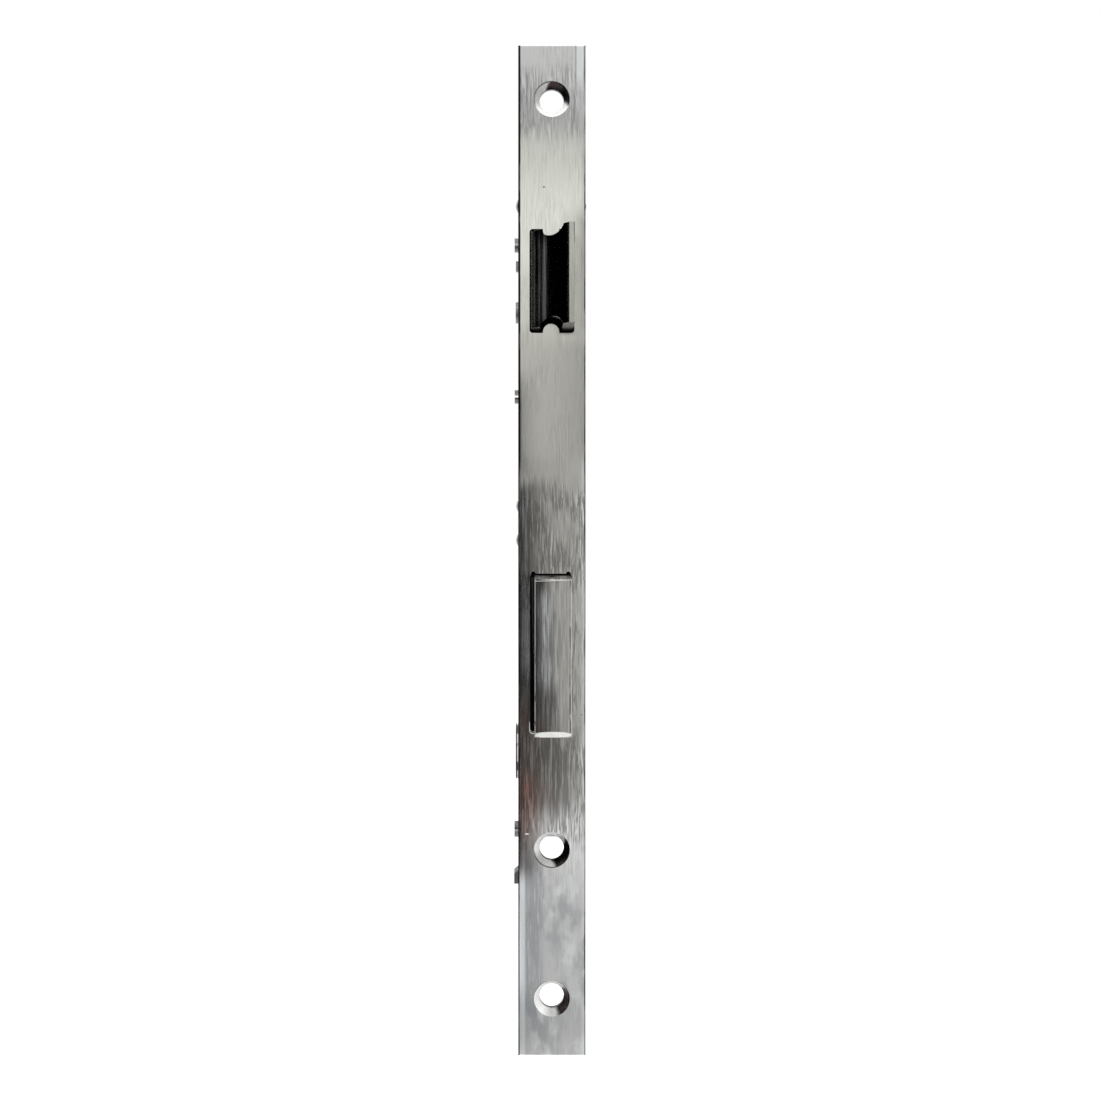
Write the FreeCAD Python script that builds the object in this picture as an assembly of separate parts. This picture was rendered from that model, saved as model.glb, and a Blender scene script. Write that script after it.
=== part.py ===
import FreeCAD
import Part
import math
import os

# Bathroom mortise lock, in millimetres and degrees.
# X runs across the lock's thickness, with the case cover on the -X side.
# Y runs from the faceplate's front face into the door, and Z is up.
# The origin is on the faceplate's front face, level with the handle spindle.
# The rest position is the latch out and the deadbolt thrown.

# Faceplate
plate_width = 16.0
plate_thickness = 3.0
plate_above_case = 32.45
plate_below_case = 36.5
plate_edge_radius = 0.4
opening_edge_radius = 0.12
opening_corner_radius = 0.7
screw_hole_diameter = 5.8
countersink_diameter = 8.5
countersink_depth = 2.0
top_screw_below_plate_top = 12.8
low_screw_above_plate_bottom = 13.6
middle_screw_below_turn = 14.1

# Case of folded sheet with a flat cover
sheet_thickness = 1.5
case_fold_radius = 1.3
cover_edge_radius = 0.25
case_inner_width = 10.8
backset = 45.0
case_behind_spindle = 27.0
case_corner_radius = 2.5
wall_strip_above_latch = 2.0
wall_strip_below_screw = 2.7
screw_path_diameter = 7.0
bottom_window_front_y = 26.0
bottom_window_length = 30.0

# Lugs on the back of the faceplate, riveted across the case
top_lug_height = 7.8
top_lug_depth = 10.0
bottom_lug_height = 4.7
bottom_lug_depth = 8.0
lug_rivet_diameter = 3.0
top_lug_rivet_depth = 5.0
bottom_lug_rivet_depth = 4.0
top_lug_rivet_above_lug_middle = 1.3

# Riveted ends of pegs and rivets
rivet_head_diameter = 5.0
rivet_head_height = 1.65
base_rivet_head_height = 1.7
low_rivet_head_height = 0.9
spigot_diameter = 3.0
peened_end_diameter = 4.0
peened_end_height = 0.5

# Cover screws and their pillars
pillar_diameter = 4.0
pillar_spigot_diameter = 2.8
cover_screw_diameter = 2.5
cover_screw_length = 6.0
cover_screw_head_diameter = 4.1
cover_screw_head_height = 2.1
cover_screw_slot_width = 0.8
cover_screw_slot_depth = 1.0
top_pillar_before_rear = 14.5
top_pillar_below_top = 4.2
middle_pillar_before_rear = 8.0
middle_pillar_above_spindle = 8.0
low_pillar_before_turn = 15.0
low_pillar_above_bottom = 9.3

# Bent tab at the cover's lower edge
tab_front_y = 9.8
tab_width = 4.0
tab_height = 5.6
tab_flare = 2.1
tab_bend_height = 1.8
tab_end_above_cover_edge = 1.3

# Latch
latch_above_spindle = 31.2
latch_height = 23.0
latch_thickness = 10.0
latch_projection = 11.5
latch_flush_projection = 0.3
latch_nose_flat = 1.3
latch_nose_radius = 0.12
latch_head_depth = 15.0
latch_side_gap = 0.25
latch_top_gap = 0.55
latch_bottom_gap = 1.0
latch_key_width = 4.0
latch_key_height = 2.2
latch_key_off_middle = 0.2
latch_key_side_gap = 0.7
latch_key_end_gap = 0.4

# Latch rod, tail and their guides
latch_rod_diameter = 5.0
latch_rod_socket_depth = 8.0
latch_rod_past_bracket = 5.0
tail_thickness = 3.0
latch_tail_height = 9.4
latch_tail_pin_diameter = 2.0
latch_tail_pin_length = 4.5
latch_tail_gap = 0.3
latch_tail_rear_gap = 0.8
latch_fork_overlap = 2.0
hook_thickness = 3.5
guide_bracket_thickness = 2.0
guide_bracket_above_latch = 11.5
bracket_before_arm = 1.9
bracket_tab_height = 2.6
bracket_tab_above_latch = 9.0
bracket_tab_end_height = 1.7
guide_peg_diameter = 4.0
guide_peg_head_diameter = 6.2
guide_peg_head_height = 1.8

# How far a cut runs past the face that it starts from
cut_overrun = 1.0

# Running clearances
slide_gap = 0.15
contact_gap = 0.1
bearing_gap = 0.05
side_play = 0.2

# Latch spring
latch_spring_wire = 0.9
latch_spring_mean_radius = 3.8
latch_spring_turns = 5.0

# Follower, the hub that the handle spindle turns
handle_spindle = 8.0
spindle_gap = 0.05
follower_hub_diameter = 20.0
follower_boss_diameter = 16.0
follower_boss_beyond_case = 0.55
follower_hub_play = 0.8
follower_arm_thickness = 5.0
arm_tip_radius = 2.5
arm_neck_width = 3.2
arm_root_width = 9.0
arm_to_tail_gap = 0.85
lower_arm_length = 20.0
follower_ring_wall = 1.25
follower_ring_beyond_case = 0.3
stop_peg_diameter = 5.0
stop_peg_from_spindle = 14.0

# Follower's spring plunger
plunger_rod_diameter = 4.0
plunger_disc_diameter = 8.6
plunger_disc_thickness = 1.5
plunger_nub_diameter = 3.0
plunger_nub_length = 2.8
plunger_rod_past_bracket = 1.0
plunger_bracket_thickness = 2.0
plunger_bracket_height = 11.0
plunger_tab_height = 3.0
follower_spring_length = 21.0
follower_spring_wire = 1.2
follower_spring_mean_radius = 3.6
follower_spring_turns = 6.0
spring_lead_rise_in_wires = 1.3

# Deadbolt
spindle_to_deadbolt_top = 39.0
deadbolt_height = 36.4
deadbolt_bottom_to_turn = 14.6
deadbolt_thickness = 8.4
deadbolt_projection = 11.6
deadbolt_flush_projection = 0.3
deadbolt_head_depth = 13.0
deadbolt_cover_side_gap = 0.95
deadbolt_base_side_gap = 0.4
deadbolt_end_gap = 0.45
deadbolt_relief_radius = 0.5
deadbolt_crown = 0.35
deadbolt_lower_chamfer = 1.6
deadbolt_upper_chamfer = 0.2
deadbolt_corner_radius = 0.15
deadbolt_tail_inset = 5.0
deadbolt_socket_depth = 8.0
deadbolt_rivet_diameter = 3.0
deadbolt_rivet_inset = 11.0
deadbolt_tail_rear_gap = 3.0
bolt_peg_diameter = 5.0
bolt_peg_before_turn = 1.0

# Turn hub, which the privacy turn's spindle turns
turn_spindle = 6.0
turn_angle = 90.0
turn_barrel_diameter = 10.2
turn_boss_diameter = 11.6
turn_ring_diameter = 14.7
turn_boss_beyond_case = 1.8
turn_cheek_thickness = 2.2
turn_cheek_radius = 7.6
crank_pin_diameter = 3.6
crank_pin_wall = 1.6
crank_slot_gap = 0.35
deadbolt_prong_width = 3.0

# Detent spring that holds the deadbolt in or out
detent_strip_thickness = 0.5
detent_strip_width = 4.0
detent_rear_peg_behind_turn = 13.0
detent_rear_peg_above_tail = 20.6
detent_front_peg_before_turn = 5.0
detent_front_peg_above_tail = 11.7
detent_peg_diameter = 4.2
detent_notch_depth = 1.4
detent_notch_half_width = 2.6
detent_nose_gap = 0.35
detent_nose_rise = 3.2

# Places along the height, worked out from the sizes above
latch_z = latch_above_spindle
latch_top_z = latch_z + latch_height / 2
latch_bottom_z = latch_z - latch_height / 2
latch_opening_top_z = latch_top_z + latch_top_gap
latch_opening_bottom_z = latch_bottom_z - latch_bottom_gap
top_lug_bottom_z = latch_opening_top_z + wall_strip_above_latch
case_inner_top_z = top_lug_bottom_z + top_lug_height
case_top_z = case_inner_top_z + sheet_thickness
plate_top_z = case_top_z + plate_above_case
deadbolt_top_z = -spindle_to_deadbolt_top
deadbolt_bottom_z = deadbolt_top_z - deadbolt_height
turn_z = deadbolt_bottom_z - deadbolt_bottom_to_turn
top_screw_z = plate_top_z - top_screw_below_plate_top
middle_screw_z = turn_z - middle_screw_below_turn
bottom_lug_top_z = middle_screw_z - screw_path_diameter / 2 - wall_strip_below_screw
case_inner_bottom_z = bottom_lug_top_z - bottom_lug_height
case_bottom_z = case_inner_bottom_z - sheet_thickness
plate_bottom_z = case_bottom_z - plate_below_case
low_screw_z = plate_bottom_z + low_screw_above_plate_bottom

# Places across the thickness and along the depth
inner_half = case_inner_width / 2
outer_half = inner_half + sheet_thickness
wall_back_y = plate_thickness + sheet_thickness
case_rear_y = backset + case_behind_spindle
case_inner_rear_y = case_rear_y - sheet_thickness
tail_half = tail_thickness / 2

# The latch's travel sets how far the follower turns
latch_travel = latch_projection - latch_flush_projection
latch_tail_bottom_z = latch_z - latch_tail_height / 2
upper_arm_length = latch_tail_bottom_z - arm_to_tail_gap - arm_tip_radius
half_swing = math.asin(latch_travel / 2 / upper_arm_length)
upper_tip_y = backset - upper_arm_length * math.sin(half_swing)
upper_tip_z = upper_arm_length * math.cos(half_swing)
hook_front_y = upper_tip_y + arm_tip_radius + contact_gap
lower_tip_y = backset + lower_arm_length * math.sin(half_swing)
lower_tip_z = -lower_arm_length * math.cos(half_swing)
plunger_travel = 2 * lower_arm_length * math.sin(half_swing)

# Latch guide bracket, tail and fork
bracket_rear_y = upper_tip_y - arm_tip_radius - bracket_before_arm
bracket_front_y = bracket_rear_y - guide_bracket_thickness
latch_tail_front_y = bracket_rear_y + latch_tail_gap
latch_tail_rear_y = case_inner_rear_y - latch_travel - latch_tail_rear_gap
guide_peg_y = latch_tail_rear_y - latch_fork_overlap
fork_half = guide_peg_diameter / 2 + slide_gap
latch_rod_end_y = bracket_rear_y + latch_rod_past_bracket
latch_tail_pin_y = (latch_tail_front_y + latch_rod_end_y) / 2
bracket_tab_z = latch_z + bracket_tab_above_latch

# Plunger in front of the follower's lower arm
plunger_nub_y = lower_tip_y - arm_tip_radius - contact_gap
plunger_disc_rear_y = plunger_nub_y - plunger_nub_length
plunger_disc_front_y = plunger_disc_rear_y - plunger_disc_thickness
plunger_bracket_rear_y = plunger_disc_front_y - follower_spring_length
plunger_bracket_front_y = plunger_bracket_rear_y - plunger_bracket_thickness
plunger_rod_front_y = plunger_bracket_front_y - plunger_rod_past_bracket

# The deadbolt's travel sets the crank's radius
deadbolt_travel = deadbolt_projection - deadbolt_flush_projection
half_turn = math.radians(turn_angle) / 2
crank_radius = deadbolt_travel / 2 / math.sin(half_turn)
crank_pin_y = backset - crank_radius * math.sin(half_turn)
crank_pin_z = turn_z + crank_radius * math.cos(half_turn)
crank_pin_radius = crank_pin_diameter / 2
crank_slot_half = crank_pin_radius + crank_slot_gap
prong_end_z = turn_z + turn_barrel_diameter / 2 + side_play
crank_slot_top_z = turn_z + crank_radius + crank_slot_half
deadbolt_tail_top_z = deadbolt_top_z - deadbolt_tail_inset
deadbolt_tail_bottom_z = deadbolt_bottom_z + deadbolt_tail_inset
deadbolt_tail_rear_y = case_inner_rear_y - deadbolt_travel - deadbolt_tail_rear_gap
deadbolt_tail_front_y = deadbolt_head_depth - deadbolt_socket_depth
deadbolt_z = (deadbolt_top_z + deadbolt_bottom_z) / 2
bolt_peg_y = backset - bolt_peg_before_turn


def vector(x, y, z):
    return FreeCAD.Vector(x, y, z)


def block(x0, x1, y0, y1, z0, z1):
    """A box between two corners."""
    return Part.makeBox(x1 - x0, y1 - y0, z1 - z0, vector(x0, y0, z0))


def bar_x(diameter, x0, x1, y, z):
    """A round bar along X."""
    return Part.makeCylinder(diameter / 2, x1 - x0, vector(x0, y, z), vector(1, 0, 0))


def bar_y(diameter, y0, y1, x, z):
    """A round bar along Y."""
    return Part.makeCylinder(diameter / 2, y1 - y0, vector(x, y0, z), vector(0, 1, 0))


def slab(points, x0, x1):
    """A flat piece between x0 and x1, from its outline of (y, z) corners."""
    corners = [vector(x0, y, z) for y, z in points]
    wire = Part.makePolygon(corners + corners[:1])
    return Part.Face(wire).extrude(vector(x1 - x0, 0, 0))


def rivet_head(face_x, side, diameter, height, y, z):
    """A domed head that stands on the face at face_x, towards side (+1 or -1) along X."""
    radius = diameter / 2
    ball_radius = (radius ** 2 + height ** 2) / (2 * height)
    ball = Part.makeSphere(ball_radius, vector(face_x + side * (height - ball_radius), y, z))
    end_x = face_x + side * height
    return ball.common(bar_x(2 * diameter, min(face_x, end_x), max(face_x, end_x), y, z))


def fillet_edges(shape, radius, wanted):
    """Round the edges whose centre passes the test wanted(centre, edge)."""
    edges = [edge for edge in shape.Edges if wanted(edge.CenterOfMass, edge)]
    return shape.makeFillet(radius, edges)


def is_near(value, target):
    return abs(value - target) < 0.01


def link(y0, z0, half0, y1, z1, half1, x0, x1):
    """A straight bar that tapers from one point of the Y-Z plane to another."""
    length = math.hypot(y1 - y0, z1 - z0)
    across_y = -(z1 - z0) / length
    across_z = (y1 - y0) / length
    corners = [
        (y0 + across_y * half0, z0 + across_z * half0),
        (y0 - across_y * half0, z0 - across_z * half0),
        (y1 - across_y * half1, z1 - across_z * half1),
        (y1 + across_y * half1, z1 + across_z * half1),
    ]
    return slab(corners, x0, x1)


def save(name, shape):
    """Write one node's solids."""
    cleaned = shape.removeSplitter()
    cleaned.exportStep("parts/" + name + ".step")


def save_group(name, solids):
    """Write several like solids as one node."""
    save(name, Part.makeCompound(solids))


os.makedirs("parts", exist_ok=True)

half_plate = plate_width / 2
latch_half = latch_thickness / 2
deadbolt_half = deadbolt_thickness / 2


# Faceplate: a square-ended flat bar with the latch and bolt openings and three countersunk holes
def rounded_opening(x0, x1, z0, z1):
    opening = block(x0, x1, 0, plate_thickness, z0, z1)
    return fillet_edges(
        opening,
        opening_corner_radius,
        lambda centre, edge: (is_near(centre.x, x0) or is_near(centre.x, x1))
        and (is_near(centre.z, z0) or is_near(centre.z, z1)),
    )


def countersunk_hole(z):
    through = bar_y(screw_hole_diameter, -cut_overrun, plate_thickness + cut_overrun, 0, z)
    cone = Part.makeCone(
        countersink_diameter / 2,
        screw_hole_diameter / 2,
        countersink_depth,
        vector(0, 0, z),
        vector(0, 1, 0),
    )
    return through.fuse(cone)


def latch_key(edge_z, side):
    """A round-ended key that stands into the latch opening, in the latch's groove."""
    half_key = latch_key_width / 2
    round_z = edge_z + side * (latch_key_height - half_key)
    stem_z = sorted((edge_z - side * cut_overrun, round_z))
    stem = block(
        latch_key_x - half_key, latch_key_x + half_key, 0, plate_thickness, stem_z[0], stem_z[1]
    )
    return stem.fuse(bar_y(latch_key_width, 0, plate_thickness, latch_key_x, round_z))


latch_key_x = -latch_key_off_middle
latch_opening_half = latch_half + latch_side_gap
latch_opening = rounded_opening(
    -latch_opening_half, latch_opening_half, latch_opening_bottom_z, latch_opening_top_z
)
latch_opening = latch_opening.cut(
    [latch_key(latch_opening_top_z, -1), latch_key(latch_opening_bottom_z, 1)]
)
deadbolt_opening_left_x = -deadbolt_half - deadbolt_cover_side_gap
deadbolt_opening_right_x = deadbolt_half + deadbolt_base_side_gap
deadbolt_opening_top_z = deadbolt_top_z + deadbolt_end_gap
deadbolt_opening = rounded_opening(
    deadbolt_opening_left_x,
    deadbolt_opening_right_x,
    deadbolt_bottom_z - deadbolt_end_gap,
    deadbolt_opening_top_z,
)
corner_reliefs = [
    bar_y(2 * deadbolt_relief_radius, 0, plate_thickness, x, deadbolt_opening_top_z)
    for x in (
        deadbolt_opening_left_x + opening_corner_radius,
        deadbolt_opening_right_x - opening_corner_radius,
    )
]
deadbolt_opening = deadbolt_opening.fuse(corner_reliefs).removeSplitter()
bar = block(-half_plate, half_plate, 0, plate_thickness, plate_bottom_z, plate_top_z)
bar = bar.cut([latch_opening, deadbolt_opening])


def is_front_rim(centre, edge):
    return is_near(edge.BoundBox.YMin, 0) and is_near(edge.BoundBox.YMax, 0)


def is_outer_rim(centre, edge):
    outer = is_near(abs(centre.x), half_plate)
    return is_front_rim(centre, edge) and (
        outer or is_near(centre.z, plate_top_z) or is_near(centre.z, plate_bottom_z)
    )


def is_opening_rim(centre, edge):
    return is_front_rim(centre, edge) and not is_outer_rim(centre, edge)


bar = fillet_edges(bar, plate_edge_radius, is_outer_rim)
bar = fillet_edges(bar, opening_edge_radius, is_opening_rim)
screw_holes = [countersunk_hole(z) for z in (top_screw_z, middle_screw_z, low_screw_z)]
save("faceplate", bar.cut(screw_holes))

# Lugs welded to the back of the faceplate, with a rivet through each across the case
top_rivet_y = plate_thickness + top_lug_rivet_depth
top_rivet_z = (top_lug_bottom_z + case_inner_top_z) / 2 + top_lug_rivet_above_lug_middle
bottom_rivet_y = plate_thickness + bottom_lug_rivet_depth
bottom_rivet_z = (bottom_lug_top_z + case_inner_bottom_z) / 2


def lug(depth, z0, z1, rivet_y, rivet_z):
    body = block(-inner_half, inner_half, plate_thickness, plate_thickness + depth, z0, z1)
    return body.cut(bar_x(lug_rivet_diameter, -inner_half, inner_half, rivet_y, rivet_z))


save(
    "faceplate_lug_top",
    lug(top_lug_depth, top_lug_bottom_z, case_inner_top_z, top_rivet_y, top_rivet_z),
)
save(
    "faceplate_lug_bottom",
    lug(bottom_lug_depth, case_inner_bottom_z, bottom_lug_top_z, bottom_rivet_y, bottom_rivet_z),
)


def cross_rivet(diameter, y, z, cover_head_height, base_head_height):
    """A rivet right across the case, with a domed head on each side."""
    shank = bar_x(diameter, -outer_half, outer_half, y, z)
    cover_head = rivet_head(-outer_half, -1, rivet_head_diameter, cover_head_height, y, z)
    base_head = rivet_head(outer_half, 1, rivet_head_diameter, base_head_height, y, z)
    return shank.fuse([cover_head, base_head])


top_rivet = cross_rivet(
    lug_rivet_diameter, top_rivet_y, top_rivet_z, rivet_head_height, base_rivet_head_height
)
bottom_rivet = cross_rivet(
    lug_rivet_diameter, bottom_rivet_y, bottom_rivet_z, low_rivet_head_height, low_rivet_head_height
)
save_group("lug_rivets", [top_rivet, bottom_rivet])

# Places of the pegs and pillars that cross the case
guide_peg_place = (guide_peg_y, latch_z)
arm_slope = math.atan((arm_root_width - arm_neck_width) / 2 / lower_arm_length)
arm_half_at_stop = arm_root_width / 2 - stop_peg_from_spindle * math.tan(arm_slope)
stop_offset = arm_half_at_stop + (stop_peg_diameter / 2 + bearing_gap) / math.cos(arm_slope)
stop_peg_place = (
    backset + stop_peg_from_spindle * math.sin(half_swing) + stop_offset * math.cos(half_swing),
    -stop_peg_from_spindle * math.cos(half_swing) + stop_offset * math.sin(half_swing),
)
bolt_peg_place = (bolt_peg_y, deadbolt_z)
rear_detent_place = (
    backset + detent_rear_peg_behind_turn,
    deadbolt_tail_top_z + detent_rear_peg_above_tail,
)
front_detent_place = (
    backset - detent_front_peg_before_turn,
    deadbolt_tail_top_z + detent_front_peg_above_tail,
)
pillar_places = [
    (case_rear_y - top_pillar_before_rear, case_top_z - top_pillar_below_top),
    (case_rear_y - middle_pillar_before_rear, middle_pillar_above_spindle),
    (backset - low_pillar_before_turn, case_bottom_z + low_pillar_above_bottom),
]
peg_places = [guide_peg_place, stop_peg_place, bolt_peg_place, rear_detent_place, front_detent_place]
lug_rivet_places = [(top_rivet_y, top_rivet_z), (bottom_rivet_y, bottom_rivet_z)]

# Holes that the case's base and its cover have in common
ring_bore = follower_boss_diameter + 2 * bearing_gap
follower_ring_diameter = ring_bore + 2 * follower_ring_wall


def side_holes(x0, x1):
    """Holes through one side sheet for pegs, rivets, hub rings and bracket tabs."""
    holes = [bar_x(spigot_diameter, x0, x1, y, z) for y, z in peg_places]
    holes += [bar_x(lug_rivet_diameter, x0, x1, y, z) for y, z in lug_rivet_places]
    holes.append(bar_x(follower_ring_diameter, x0, x1, backset, 0))
    holes.append(bar_x(turn_ring_diameter, x0, x1, backset, turn_z))
    holes.append(guide_bracket_tab(x0, x1))
    holes.append(plunger_bracket_tab(x0, x1))
    return holes


def guide_bracket_tab(x0, x1):
    tab_bottom_z = bracket_tab_z - bracket_tab_height / 2
    tab_top_z = bracket_tab_z + bracket_tab_height / 2
    return block(x0, x1, bracket_front_y, bracket_rear_y, tab_bottom_z, tab_top_z)


def plunger_bracket_tab(x0, x1):
    tab_bottom_z = lower_tip_z - plunger_tab_height / 2
    tab_top_z = lower_tip_z + plunger_tab_height / 2
    return block(x0, x1, plunger_bracket_front_y, plunger_bracket_rear_y, tab_bottom_z, tab_top_z)


# Case body: a tray folded from sheet, its base on the +X side and a wall all round
tray = block(-inner_half, outer_half, plate_thickness, case_rear_y, case_bottom_z, case_top_z)
tray = fillet_edges(
    tray,
    case_corner_radius,
    lambda centre, edge: is_near(centre.y, case_rear_y)
    and (is_near(centre.z, case_top_z) or is_near(centre.z, case_bottom_z)),
)
tray = fillet_edges(
    tray,
    case_fold_radius,
    lambda centre, edge: is_near(edge.BoundBox.XMin, outer_half)
    and edge.BoundBox.YMax > plate_thickness + case_corner_radius,
)
hollow = block(
    -inner_half, inner_half, wall_back_y, case_inner_rear_y, case_inner_bottom_z, case_inner_top_z
)
front_cuts = [
    block(
        -inner_half,
        inner_half,
        plate_thickness,
        wall_back_y,
        latch_opening_bottom_z,
        latch_opening_top_z,
    ),
    block(
        -deadbolt_half - slide_gap,
        deadbolt_half + slide_gap,
        plate_thickness,
        wall_back_y,
        deadbolt_bottom_z - slide_gap,
        deadbolt_top_z + slide_gap,
    ),
    block(-inner_half, inner_half, plate_thickness, wall_back_y, top_lug_bottom_z, case_inner_top_z),
    block(
        -inner_half, inner_half, plate_thickness, wall_back_y, case_inner_bottom_z, bottom_lug_top_z
    ),
    bar_y(screw_path_diameter, plate_thickness, wall_back_y, 0, middle_screw_z),
]
bottom_window = block(
    -inner_half,
    inner_half,
    bottom_window_front_y,
    bottom_window_front_y + bottom_window_length,
    case_bottom_z,
    case_inner_bottom_z,
)
base_spigots = [bar_x(pillar_spigot_diameter, inner_half, outer_half, y, z) for y, z in pillar_places]
save(
    "case_body",
    tray.cut([hollow, bottom_window] + front_cuts + side_holes(inner_half, outer_half) + base_spigots),
)

# Case cover: a flat sheet on the -X side, with a small tab bent out at its lower edge
cover = block(-outer_half, -inner_half, plate_thickness, case_rear_y, case_bottom_z, case_top_z)
cover = fillet_edges(
    cover,
    case_corner_radius,
    lambda centre, edge: is_near(centre.y, case_rear_y)
    and (is_near(centre.z, case_top_z) or is_near(centre.z, case_bottom_z)),
)
cover = fillet_edges(
    cover,
    cover_edge_radius,
    lambda centre, edge: is_near(edge.BoundBox.XMax, -outer_half)
    and edge.BoundBox.YMax > plate_thickness + case_corner_radius,
)
tab_rear_y = tab_front_y + tab_width
tab_top_z = case_bottom_z + tab_height
tab_notch = block(-outer_half, -inner_half, tab_front_y, tab_rear_y, case_bottom_z, tab_top_z)
tab_bend_z = tab_top_z - tab_bend_height
tab_end_z = case_bottom_z + tab_end_above_cover_edge
tab_corners = [
    vector(-inner_half, tab_front_y, tab_top_z),
    vector(-outer_half, tab_front_y, tab_top_z),
    vector(-outer_half - tab_flare, tab_front_y, tab_bend_z),
    vector(-outer_half - tab_flare, tab_front_y, tab_end_z),
    vector(-inner_half - tab_flare, tab_front_y, tab_end_z),
    vector(-inner_half - tab_flare, tab_front_y, tab_bend_z),
]
bent_tab = Part.Face(Part.makePolygon(tab_corners + tab_corners[:1])).extrude(vector(0, tab_width, 0))
screw_clearances = [
    bar_x(cover_screw_diameter, -outer_half, -inner_half, y, z) for y, z in pillar_places
]
cover = cover.cut([tab_notch] + side_holes(-outer_half, -inner_half) + screw_clearances)
save("case_cover", cover.fuse(bent_tab))


# Pillars riveted into the base, and the slotted screws that hold the cover to them
def peened_end(y, z):
    return rivet_head(outer_half, 1, peened_end_diameter, peened_end_height, y, z)


def pillar(y, z):
    post = bar_x(pillar_diameter, -inner_half, inner_half, y, z)
    spigot = bar_x(pillar_spigot_diameter, inner_half, outer_half, y, z)
    thread = bar_x(cover_screw_diameter, -inner_half, -outer_half + cover_screw_length, y, z)
    return post.fuse([spigot, peened_end(y, z)]).cut(thread)


def cover_screw(y, z):
    head_x = -outer_half - cover_screw_head_height
    head = bar_x(cover_screw_head_diameter, head_x, -outer_half, y, z)
    shank = bar_x(cover_screw_diameter, -outer_half, -outer_half + cover_screw_length, y, z)
    slot = block(
        head_x,
        head_x + cover_screw_slot_depth,
        y - cover_screw_head_diameter,
        y + cover_screw_head_diameter,
        z - cover_screw_slot_width / 2,
        z + cover_screw_slot_width / 2,
    )
    return head.fuse(shank).cut(slot)


save_group("cover_pillars", [pillar(y, z) for y, z in pillar_places])
save_group("cover_screws", [cover_screw(y, z) for y, z in pillar_places])

# Latch head: bevelled on the cover side, with half-round grooves for the faceplate's keys
latch_profile = [
    vector(-latch_half, 0, 0),
    vector(latch_half - latch_nose_flat, -latch_projection, 0),
    vector(latch_half, -latch_projection, 0),
    vector(latch_half, latch_head_depth, 0),
    vector(-latch_half, latch_head_depth, 0),
]
latch_face = Part.Face(Part.makePolygon(latch_profile + latch_profile[:1]))
latch_head = latch_face.extrude(vector(0, 0, latch_height))
latch_head.translate(vector(0, 0, latch_bottom_z))
latch_head = fillet_edges(
    latch_head,
    latch_nose_radius,
    lambda centre, edge: is_near(centre.z, latch_z)
    and (is_near(centre.y, -latch_projection) or is_near(centre.y, 0)),
)
latch_groove_radius = latch_key_width / 2 + latch_key_side_gap
latch_groove_depth = latch_key_height - latch_top_gap + latch_key_end_gap
groove_past_end = latch_groove_radius - latch_groove_depth
groove_front_y = -latch_projection - cut_overrun
groove_rear_y = latch_head_depth + cut_overrun
latch_grooves = [
    bar_y(2 * latch_groove_radius, groove_front_y, groove_rear_y, latch_key_x, z)
    for z in (latch_top_z + groove_past_end, latch_bottom_z - groove_past_end)
]
rod_socket_y = latch_head_depth - latch_rod_socket_depth
latch_rod_socket = bar_y(latch_rod_diameter, rod_socket_y, latch_head_depth, 0, latch_z)
save("latch_head", latch_head.cut(latch_grooves + [latch_rod_socket]))

# Latch rod, its rear end slotted for the tail plate and cross-pinned to it
latch_rod = bar_y(latch_rod_diameter, rod_socket_y, latch_rod_end_y, 0, latch_z)
tail_slot = block(
    -tail_half,
    tail_half,
    latch_tail_front_y,
    latch_rod_end_y,
    latch_z - latch_rod_diameter,
    latch_z + latch_rod_diameter,
)
latch_pin_half = latch_tail_pin_length / 2
latch_pin = bar_x(latch_tail_pin_diameter, -latch_pin_half, latch_pin_half, latch_tail_pin_y, latch_z)
save("latch_rod", latch_rod.cut([tail_slot, latch_pin]))
save("latch_tail_pin", latch_pin)

# Latch tail: a flat plate with a hook for the follower's arm and a fork round the guide peg
fork_front_y = guide_peg_y - latch_travel - fork_half
tail_top_z = latch_z + latch_tail_height / 2
hook_bottom_z = upper_tip_z - arm_tip_radius / 2
tail_plate = block(
    -tail_half, tail_half, latch_tail_front_y, latch_tail_rear_y, latch_tail_bottom_z, tail_top_z
)
hook = block(
    -tail_half,
    tail_half,
    hook_front_y,
    hook_front_y + hook_thickness,
    hook_bottom_z,
    latch_tail_bottom_z,
)
fork = block(
    -tail_half, tail_half, fork_front_y, latch_tail_rear_y, latch_z - fork_half, latch_z + fork_half
)
save("latch_tail", tail_plate.fuse(hook).cut([fork, latch_pin]))

# Bracket that guides the latch rod and backs its spring, with tabs through both side sheets
guide_bracket = block(
    -inner_half,
    inner_half,
    bracket_front_y,
    bracket_rear_y,
    latch_tail_bottom_z,
    latch_z + guide_bracket_above_latch,
)
rod_hole = bar_y(latch_rod_diameter + 2 * slide_gap, bracket_front_y, bracket_rear_y, 0, latch_z)
bracket_tab = guide_bracket_tab(-outer_half - bracket_tab_end_height, outer_half)
save("latch_guide_bracket", guide_bracket.cut(rod_hole).fuse(bracket_tab))


# Pegs across the case, shouldered between the sheets and riveted through them
def peg(diameter, place):
    y, z = place
    shoulder = bar_x(diameter, -inner_half, inner_half, y, z)
    spigot = bar_x(spigot_diameter, -outer_half, outer_half, y, z)
    return shoulder.fuse([spigot, peened_end(y, z)])


guide_peg_head = bar_x(
    guide_peg_head_diameter,
    -outer_half - guide_peg_head_height,
    -outer_half,
    guide_peg_y,
    latch_z,
)
save("latch_guide_peg", peg(guide_peg_diameter, guide_peg_place).fuse(guide_peg_head))
save("follower_stop_peg", peg(stop_peg_diameter, stop_peg_place))
save("bolt_guide_peg", peg(bolt_peg_diameter, bolt_peg_place))


def detent_peg(place):
    y, z = place
    head = rivet_head(-outer_half, -1, rivet_head_diameter, rivet_head_height, y, z)
    return peg(detent_peg_diameter, place).fuse(head)


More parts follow.
